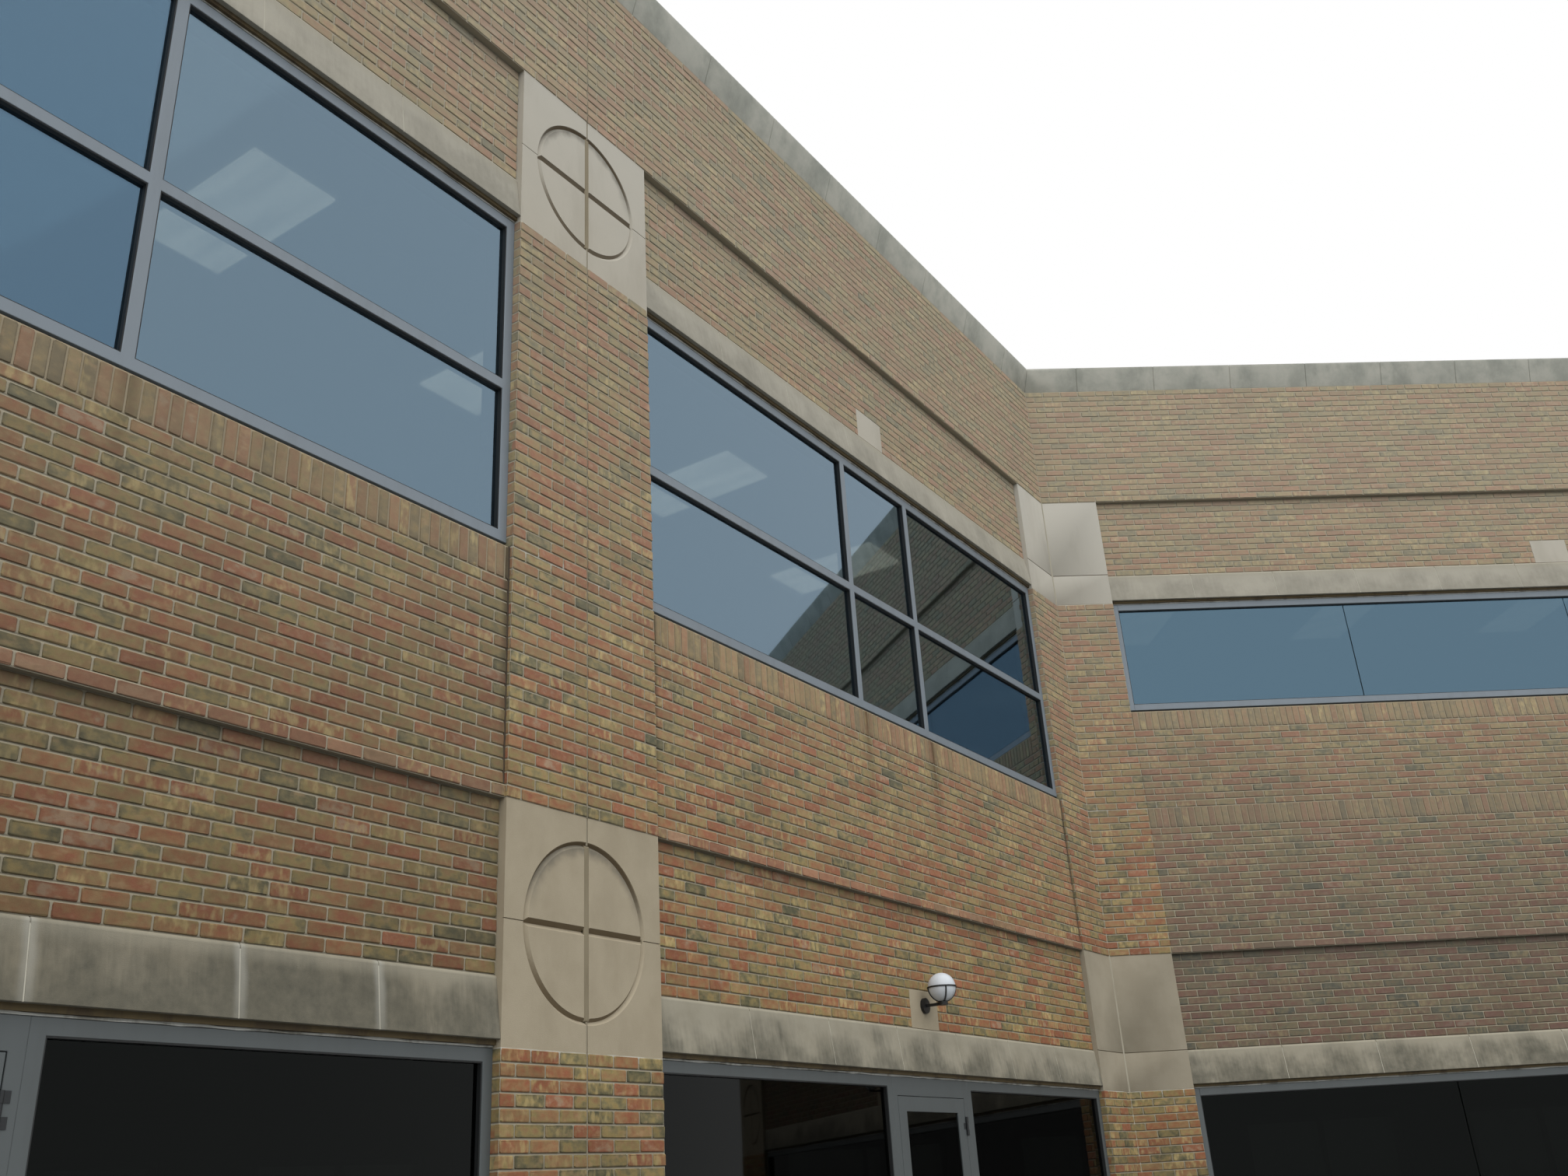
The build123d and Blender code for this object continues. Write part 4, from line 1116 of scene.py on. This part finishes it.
def lay_bricks():
    """Every field of bricks, each worn by its own seed."""
    ledge = SPANDREL_SETBACK - LEDGE_PROUD
    entrance_breaks = (OUTER_PIER[0], middle(OUTER_PIER), middle(MIDDLE_PIER), 0)
    strip_breaks = (0, middle(STRIP_PIER), STRIP_PIER[1])
    entrance = {
        "outer_pier_bricks": pier_bricks(OUTER_PIER),
        "middle_pier_bricks": pier_bricks(MIDDLE_PIER),
        "corner_pier_left_bricks": shaft_bricks(LEFT_HALF_PIER, (0.0, CORNER_GAP)),
        "entrance_parapet_bricks": parapet_bricks(entrance_breaks, (0.0, CORNER_GAP)),
        "outer_bay_spandrel_bricks": spandrel_bricks(OUTER_BAY, SPANDREL_SETBACK, ledge, [SOLDIERS]),
        "corner_bay_spandrel_bricks": spandrel_bricks(CORNER_BAY, SPANDREL_SETBACK, ledge, [SOLDIERS]),
        "outer_bay_ground_recess_bricks": recess_bricks(OUTER_BAY),
        "outer_bay_upper_recess_bricks": recess_bricks(OUTER_BAY, STOREY),
        "corner_bay_ground_recess_bricks": recess_bricks(CORNER_BAY),
        "corner_bay_upper_recess_bricks": recess_bricks(CORNER_BAY, STOREY),
    }
    strip_wing = {
        "corner_pier_right_bricks": shaft_bricks(RIGHT_HALF_PIER, (CORNER_GAP, 0.0)),
        "strip_pier_bricks": pier_bricks(STRIP_PIER),
        "strip_parapet_bricks": parapet_bricks(strip_breaks, (CORNER_GAP, 0.0)),
        "strip_spandrel_bricks": spandrel_bricks(STRIP_BAY, 0.0, 0.0, [SOLDIERS, STRIP_SOLDIERS]),
        "strip_ground_recess_bricks": recess_bricks(STRIP_BAY),
        "strip_upper_recess_bricks": recess_bricks(STRIP_BAY, STOREY),
    }
    for seed, (name, fields) in enumerate({**entrance, **strip_wing}.items()):
        wall = ENTRANCE_WALL if name in entrance else STRIP_WALL
        field = joined(fields)
        wear(seed)
        put_on(field, wall, name, finish_of_bricks(name))


lay_bricks()


# Sealant and mortar in the joints, with each bead's width and its depths behind the wall's face

PIER_BEAD_DEPTHS = (-0.002, JOINT)
PANEL_BEAD = 0.0125
PANEL_BEAD_DEPTHS = (0.0008, 0.008)
RING_BEAD = 0.042
RING_BEAD_DEPTHS = (0.0015, 0.009)
BAY_BEAD_DEPTHS = (SPANDREL_SETBACK - 0.007, SPANDREL_SETBACK)
CORNER_BEAD = 0.022
CORNER_BEAD_DEPTHS = (-0.005, 0.012)
BEAD_ROUNDING = 0.22


def strip(x, y, z):
    """A bead with a softly rounded face, given its spans along, into and up a wall."""
    bead = block((x[0], y[0], z[0]), (x[1], y[1], z[1]))
    pick_front(bead)
    bevel_picked((x[1] - x[0]) * BEAD_ROUNDING, 2)
    return bead


def pier_joint(centre):
    """The sealed movement joint up a pier, and the wider strip of it across each ring."""
    beads, rings = [], []
    for rows in (*PIER_ROWS, PARAPET_ROWS):
        beads.append(strip(around(centre, JOINT), PIER_BEAD_DEPTHS, in_metres(rows, COURSE)))
    for rise in (0, STOREY):
        low, high = around((RING_LEVEL + rise) * COURSE, 2 * RING_RADIUS)
        rings.append(strip(around(centre, RING_BEAD), RING_BEAD_DEPTHS, (low, high)))
        for z in (((HEAD + rise) * COURSE, low), (high, (LEDGE + rise) * COURSE)):
            beads.append(strip(around(centre, PANEL_BEAD), PANEL_BEAD_DEPTHS, z))
    return joined(beads), joined(rings)


def seal_joints():
    """The joints up the piers, at the ends of the spandrels and up the corner."""
    for name, wall, pier in (("outer_pier", ENTRANCE_WALL, OUTER_PIER),
                             ("middle_pier", ENTRANCE_WALL, MIDDLE_PIER),
                             ("strip_pier", STRIP_WALL, STRIP_PIER)):
        beads, rings = pier_joint(middle(pier) * BRICK)
        put_on(beads, wall, name + "_joint_sealant", "joint_sealant")
        put_on(rings, wall, name + "_ring_sealant", "ring_sealant")
    # The dark strips at the spandrel ends are sealant that also paints the shadow in those joints
    ends = []
    for left, right in (in_metres(OUTER_BAY), in_metres(CORNER_BAY)):
        for x in ((left, left + SPANDREL_GAP), (right - SPANDREL_GAP, right)):
            ends.append(strip(x, BAY_BEAD_DEPTHS, in_metres((LEDGE, SILL), COURSE)))
    put_on(joined(ends), ENTRANCE_WALL, "spandrel_end_sealant_and_shade", "bay_joint_sealant_and_shade")
    corner = strip(around(0, CORNER_BEAD), CORNER_BEAD_DEPTHS, (0, COPING * COURSE))
    halfway = Matrix.Translation(CORNER) @ Matrix.Rotation(-WING_TURN / 2, 4, "Z")
    put_on(corner, halfway, "corner_joint_sealant", "corner_sealant")


seal_joints()

# The mortar between lintel stones, and how far the stones' tops lean back
LINTEL_LENGTH = 0.9144
LINTEL_LEAN = 0.036
POINTING_WIDTH = 0.006
POINTING_FRONT = 0.0015
POINTING_DEPTH = 0.012
POINTING_DROP = 0.024


def leaning_joint(x, rise):
    """A thin fillet of mortar whose face leans with the stone."""
    left, right = around(x, POINTING_WIDTH)
    foot, top = LINTEL_FOOT + rise, LINTEL_FOOT + LINTEL_HEIGHT - POINTING_DROP + rise
    fillet = block((left, POINTING_FRONT, foot), (right, POINTING_FRONT + POINTING_DEPTH, top))
    pick(fillet, "FACE", lambda face: face.normal.z > 0.5)
    bpy.ops.transform.translate(value=(0, LINTEL_LEAN, 0))
    pick_front(fillet)
    bevel_picked(POINTING_WIDTH * 0.2)
    return fillet


def lintel_joint_places(span, measured):
    """The joints read off the photo, from the right, and even ones over the rest of the lintel."""
    left, right = in_metres(span)
    joints = [right - distance for distance in measured]
    rest = joints[-1] if joints else right
    stones = round((rest - left) / LINTEL_LENGTH)
    return joints + [left + (rest - left) / stones * number for number in range(1, stones)]


def point_stone():
    """Mortar between the stones of every front lintel."""
    for wing, wall, bays in WINGS:
        fillets = []
        for bay in bays:
            for rise in (0, STOREY_HEIGHT):
                measured = OUTER_LINTEL_JOINTS if bay == OUTER_BAY and rise == 0 else ()
                fillets += [leaning_joint(x, rise) for x in lintel_joint_places(bay, measured)]
        put_on(joined(fillets), wall, wing + "_lintel_pointing", "lime_mortar")


point_stone()

# Window heads and glazing, in metres
FRAME_SETBACK = 0.050
FRAME_FACE = 0.0635
GLASS_FRONT = 0.080
LINING_FRONT = 0.055
LINING_WIDTH = 0.006
FLASHING = 0.034
SILL_HEIGHT = SILL * COURSE + FLASHING
STRIP_SILL_HEIGHT = STRIP_SILL * COURSE + FLASHING
MID_RAIL = (SILL + 15.4) * COURSE
FLOOR_TOP = 0.1016


def clear_spans(edges):
    """The openings between bars centred on the inner edges of a row."""
    starts = [edges[0] + FRAME_FACE] + [edge + FRAME_FACE / 2 for edge in edges[1:-1]]
    ends = [edge - FRAME_FACE / 2 for edge in edges[1:-1]] + [edges[-1] - FRAME_FACE]
    return list(zip(starts, ends))


def gasket_and_reveal_shade(x, z):
    """A black lining round one pane, from the glass out to just behind the frame's face: a rubber gasket
    that also paints the shade in the frame's reveal.
    """
    ring = block((x[0], LINING_FRONT, z[0]), (x[1], GLASS_FRONT, z[1]))
    pick(ring, "FACE", lambda face: abs(face.normal.y) > 0.5)
    bpy.ops.mesh.inset(thickness=LINING_WIDTH, depth=0)
    bpy.ops.mesh.bridge_edge_loops()
    leave_editing()
    return ring


def pane_openings(bay):
    """Every front pane of a bay, above and below, but for the door."""
    left, right = in_metres(bay)
    if bay == STRIP_BAY:
        levels = ([FLOOR_TOP, HEAD_HEIGHT], [STRIP_SILL_HEIGHT, HEAD_HEIGHT + STOREY_HEIGHT])
        return [(clear_spans([left, right])[0], clear_spans(edges)[0]) for edges in levels]
    centre = middle((left, right))
    upper = [(x, z) for x in clear_spans([left, *around(centre, CENTRE_LIGHT), right])
             for z in clear_spans([SILL_HEIGHT, MID_RAIL, HEAD_HEIGHT + STOREY_HEIGHT])]
    posts = around(centre, CENTRE_LIGHT + FRAME_FACE)
    ground = clear_spans([FLOOR_TOP, HEAD_HEIGHT])[0]
    return upper + [(clear_spans(edges)[0], ground) for edges in ([left, posts[0]], [posts[1], right])]


def fit_gaskets_and_reveal_shade():
    """A black lining of gasket and painted reveal shade round every front pane."""
    for wing, wall, bays in WINGS:
        rings = [gasket_and_reveal_shade(x, z) for bay in bays for x, z in pane_openings(bay)]
        put_on(joined(rings), wall, wing + "_gaskets_and_reveal_shade", "black_gasket_and_reveal_shade")


fit_gaskets_and_reveal_shade()

# The bead under each window head: the gap at its ends, its depths, its levels and how ragged it is
HEAD_BEAD_GAP = 0.004
HEAD_BEAD_DEPTHS = (FRAME_SETBACK - 0.003, FRAME_SETBACK + 0.014)
HEAD_BEAD_LEVELS = (0.001, 0.011)
HEAD_BEAD_CUTS = 6
HEAD_BEAD_WANDER = 0.0028


def head_bead(span, rise, seed):
    """The ragged line of sealant smeared along a window head."""
    left, right = in_metres(span)
    foot, top = (HEAD_HEIGHT + rise + level for level in HEAD_BEAD_LEVELS)
    front, back = HEAD_BEAD_DEPTHS
    bead = block((left + HEAD_BEAD_GAP, front, foot), (right - HEAD_BEAD_GAP, back, top))
    for cut in range(HEAD_BEAD_CUTS):
        pick_edges(bead, lambda run: abs(run.x) > abs(run.y) + abs(run.z))
        bpy.ops.mesh.subdivide(number_cuts=1)
        leave_editing()
    pick_front(bead)
    bpy.ops.transform.vertex_random(offset=HEAD_BEAD_WANDER, uniform=1.0, seed=seed)
    leave_editing()
    return bead


def seal_heads():
    """A bead over every front window."""
    for wing, wall, bays in WINGS:
        beads = [head_bead(bay, rise, seed) for seed, bay in enumerate(bays) for rise in (0, STOREY_HEIGHT)]
        put_on(joined(beads), wall, wing + "_head_beads", "head_sealant")


seal_heads()


# Stage, light and camera

FLOOR_SIZE = 400
FLOOR_DROP = 0.002
FLOOR_SEEN = (0.70, 0.70, 0.69, 1)
FLOOR_LIGHTING = (0.20, 0.20, 0.19, 1)
SKY_LIGHTING = (0.88, 0.94, 1.0, 1.0)
SKY_STRENGTH = 0.62
WHITE = (1.0, 1.0, 1.0, 1.0)
LAMP_STRENGTH = 3.0
LAMP_COLOUR = (1.0, 0.98, 0.95)
LAMP_SOFTNESS = math.radians(90)
LAMP_TURN = (math.radians(34), 0, math.radians(-36))


def seen_rays(tree):
    """1 for rays that show the backdrop: from the camera, in reflections and through glass."""
    path = outputs(add_node(tree, "ShaderNodeLightPath"))
    shown = maths("MAXIMUM", path["Is Camera Ray"], path["Is Glossy Ray"])
    return maths("MAXIMUM", shown, path["Is Transmission Ray"])


def make_stage():
    bpy.ops.object.select_all(action="DESELECT")
    bpy.ops.mesh.primitive_plane_add(size=FLOOR_SIZE, location=(0, 0, -FLOOR_DROP))
    floor = bpy.context.object
    floor.name = "studio_floor"
    shader, place = new_finish("studio_floor", Roughness=0.9, Specular_IOR_Level=0.1)
    set_inputs(shader, {"Base Color": mix_colour(seen_rays(place.tree), FLOOR_LIGHTING, FLOOR_SEEN)})
    give_finish(floor, "studio_floor")


def make_world():
    world = bpy.data.worlds.new("studio")
    bpy.context.scene.world = world
    world.use_nodes = True
    tree = world.node_tree
    tree.nodes.clear()
    skies = [outputs(add_node(tree, "ShaderNodeBackground", {"Color": colour, "Strength": strength}))
             for colour, strength in ((SKY_LIGHTING, SKY_STRENGTH), (WHITE, 1.0))]
    mixed = add_node(tree, "ShaderNodeMixShader", {
        0: seen_rays(tree), 1: skies[0]["Background"], 2: skies[1]["Background"]})
    set_inputs(tree.nodes.new("ShaderNodeOutputWorld"), {"Surface": outputs(mixed)["Shader"]})


def make_lamp():
    bpy.ops.object.light_add(type="SUN", rotation=LAMP_TURN)
    lamp = bpy.context.object
    lamp.name = "soft_sky_lamp"
    lamp.data.energy = LAMP_STRENGTH
    lamp.data.angle = LAMP_SOFTNESS
    lamp.data.color = LAMP_COLOUR
    lamp.visible_glossy = False


def make_camera():
    """The view that the photo shows."""
    forward = Vector((math.sin(CAMERA_YAW) * math.cos(CAMERA_PITCH),
                      math.cos(CAMERA_YAW) * math.cos(CAMERA_PITCH), math.sin(CAMERA_PITCH)))
    level = Vector((math.cos(CAMERA_YAW), -math.sin(CAMERA_YAW), 0))
    upright = level.cross(forward)
    right = math.cos(CAMERA_ROLL) * level + math.sin(CAMERA_ROLL) * upright
    up = -math.sin(CAMERA_ROLL) * level + math.cos(CAMERA_ROLL) * upright
    data = bpy.data.cameras.new("photo_view")
    data.lens = CAMERA_LENS
    data.sensor_width = CAMERA_SENSOR
    data.clip_end = CAMERA_REACH
    camera = bpy.data.objects.new("photo_view", data)
    bpy.context.scene.collection.objects.link(camera)
    turn = Matrix((right, up, -forward)).transposed().to_4x4()
    camera.matrix_world = Matrix.Translation(CORNER + CAMERA_PLACE) @ turn
    bpy.context.scene.camera = camera


make_stage()
make_world()
make_lamp()
make_camera()
bpy.context.scene.view_settings.view_transform = "Standard"
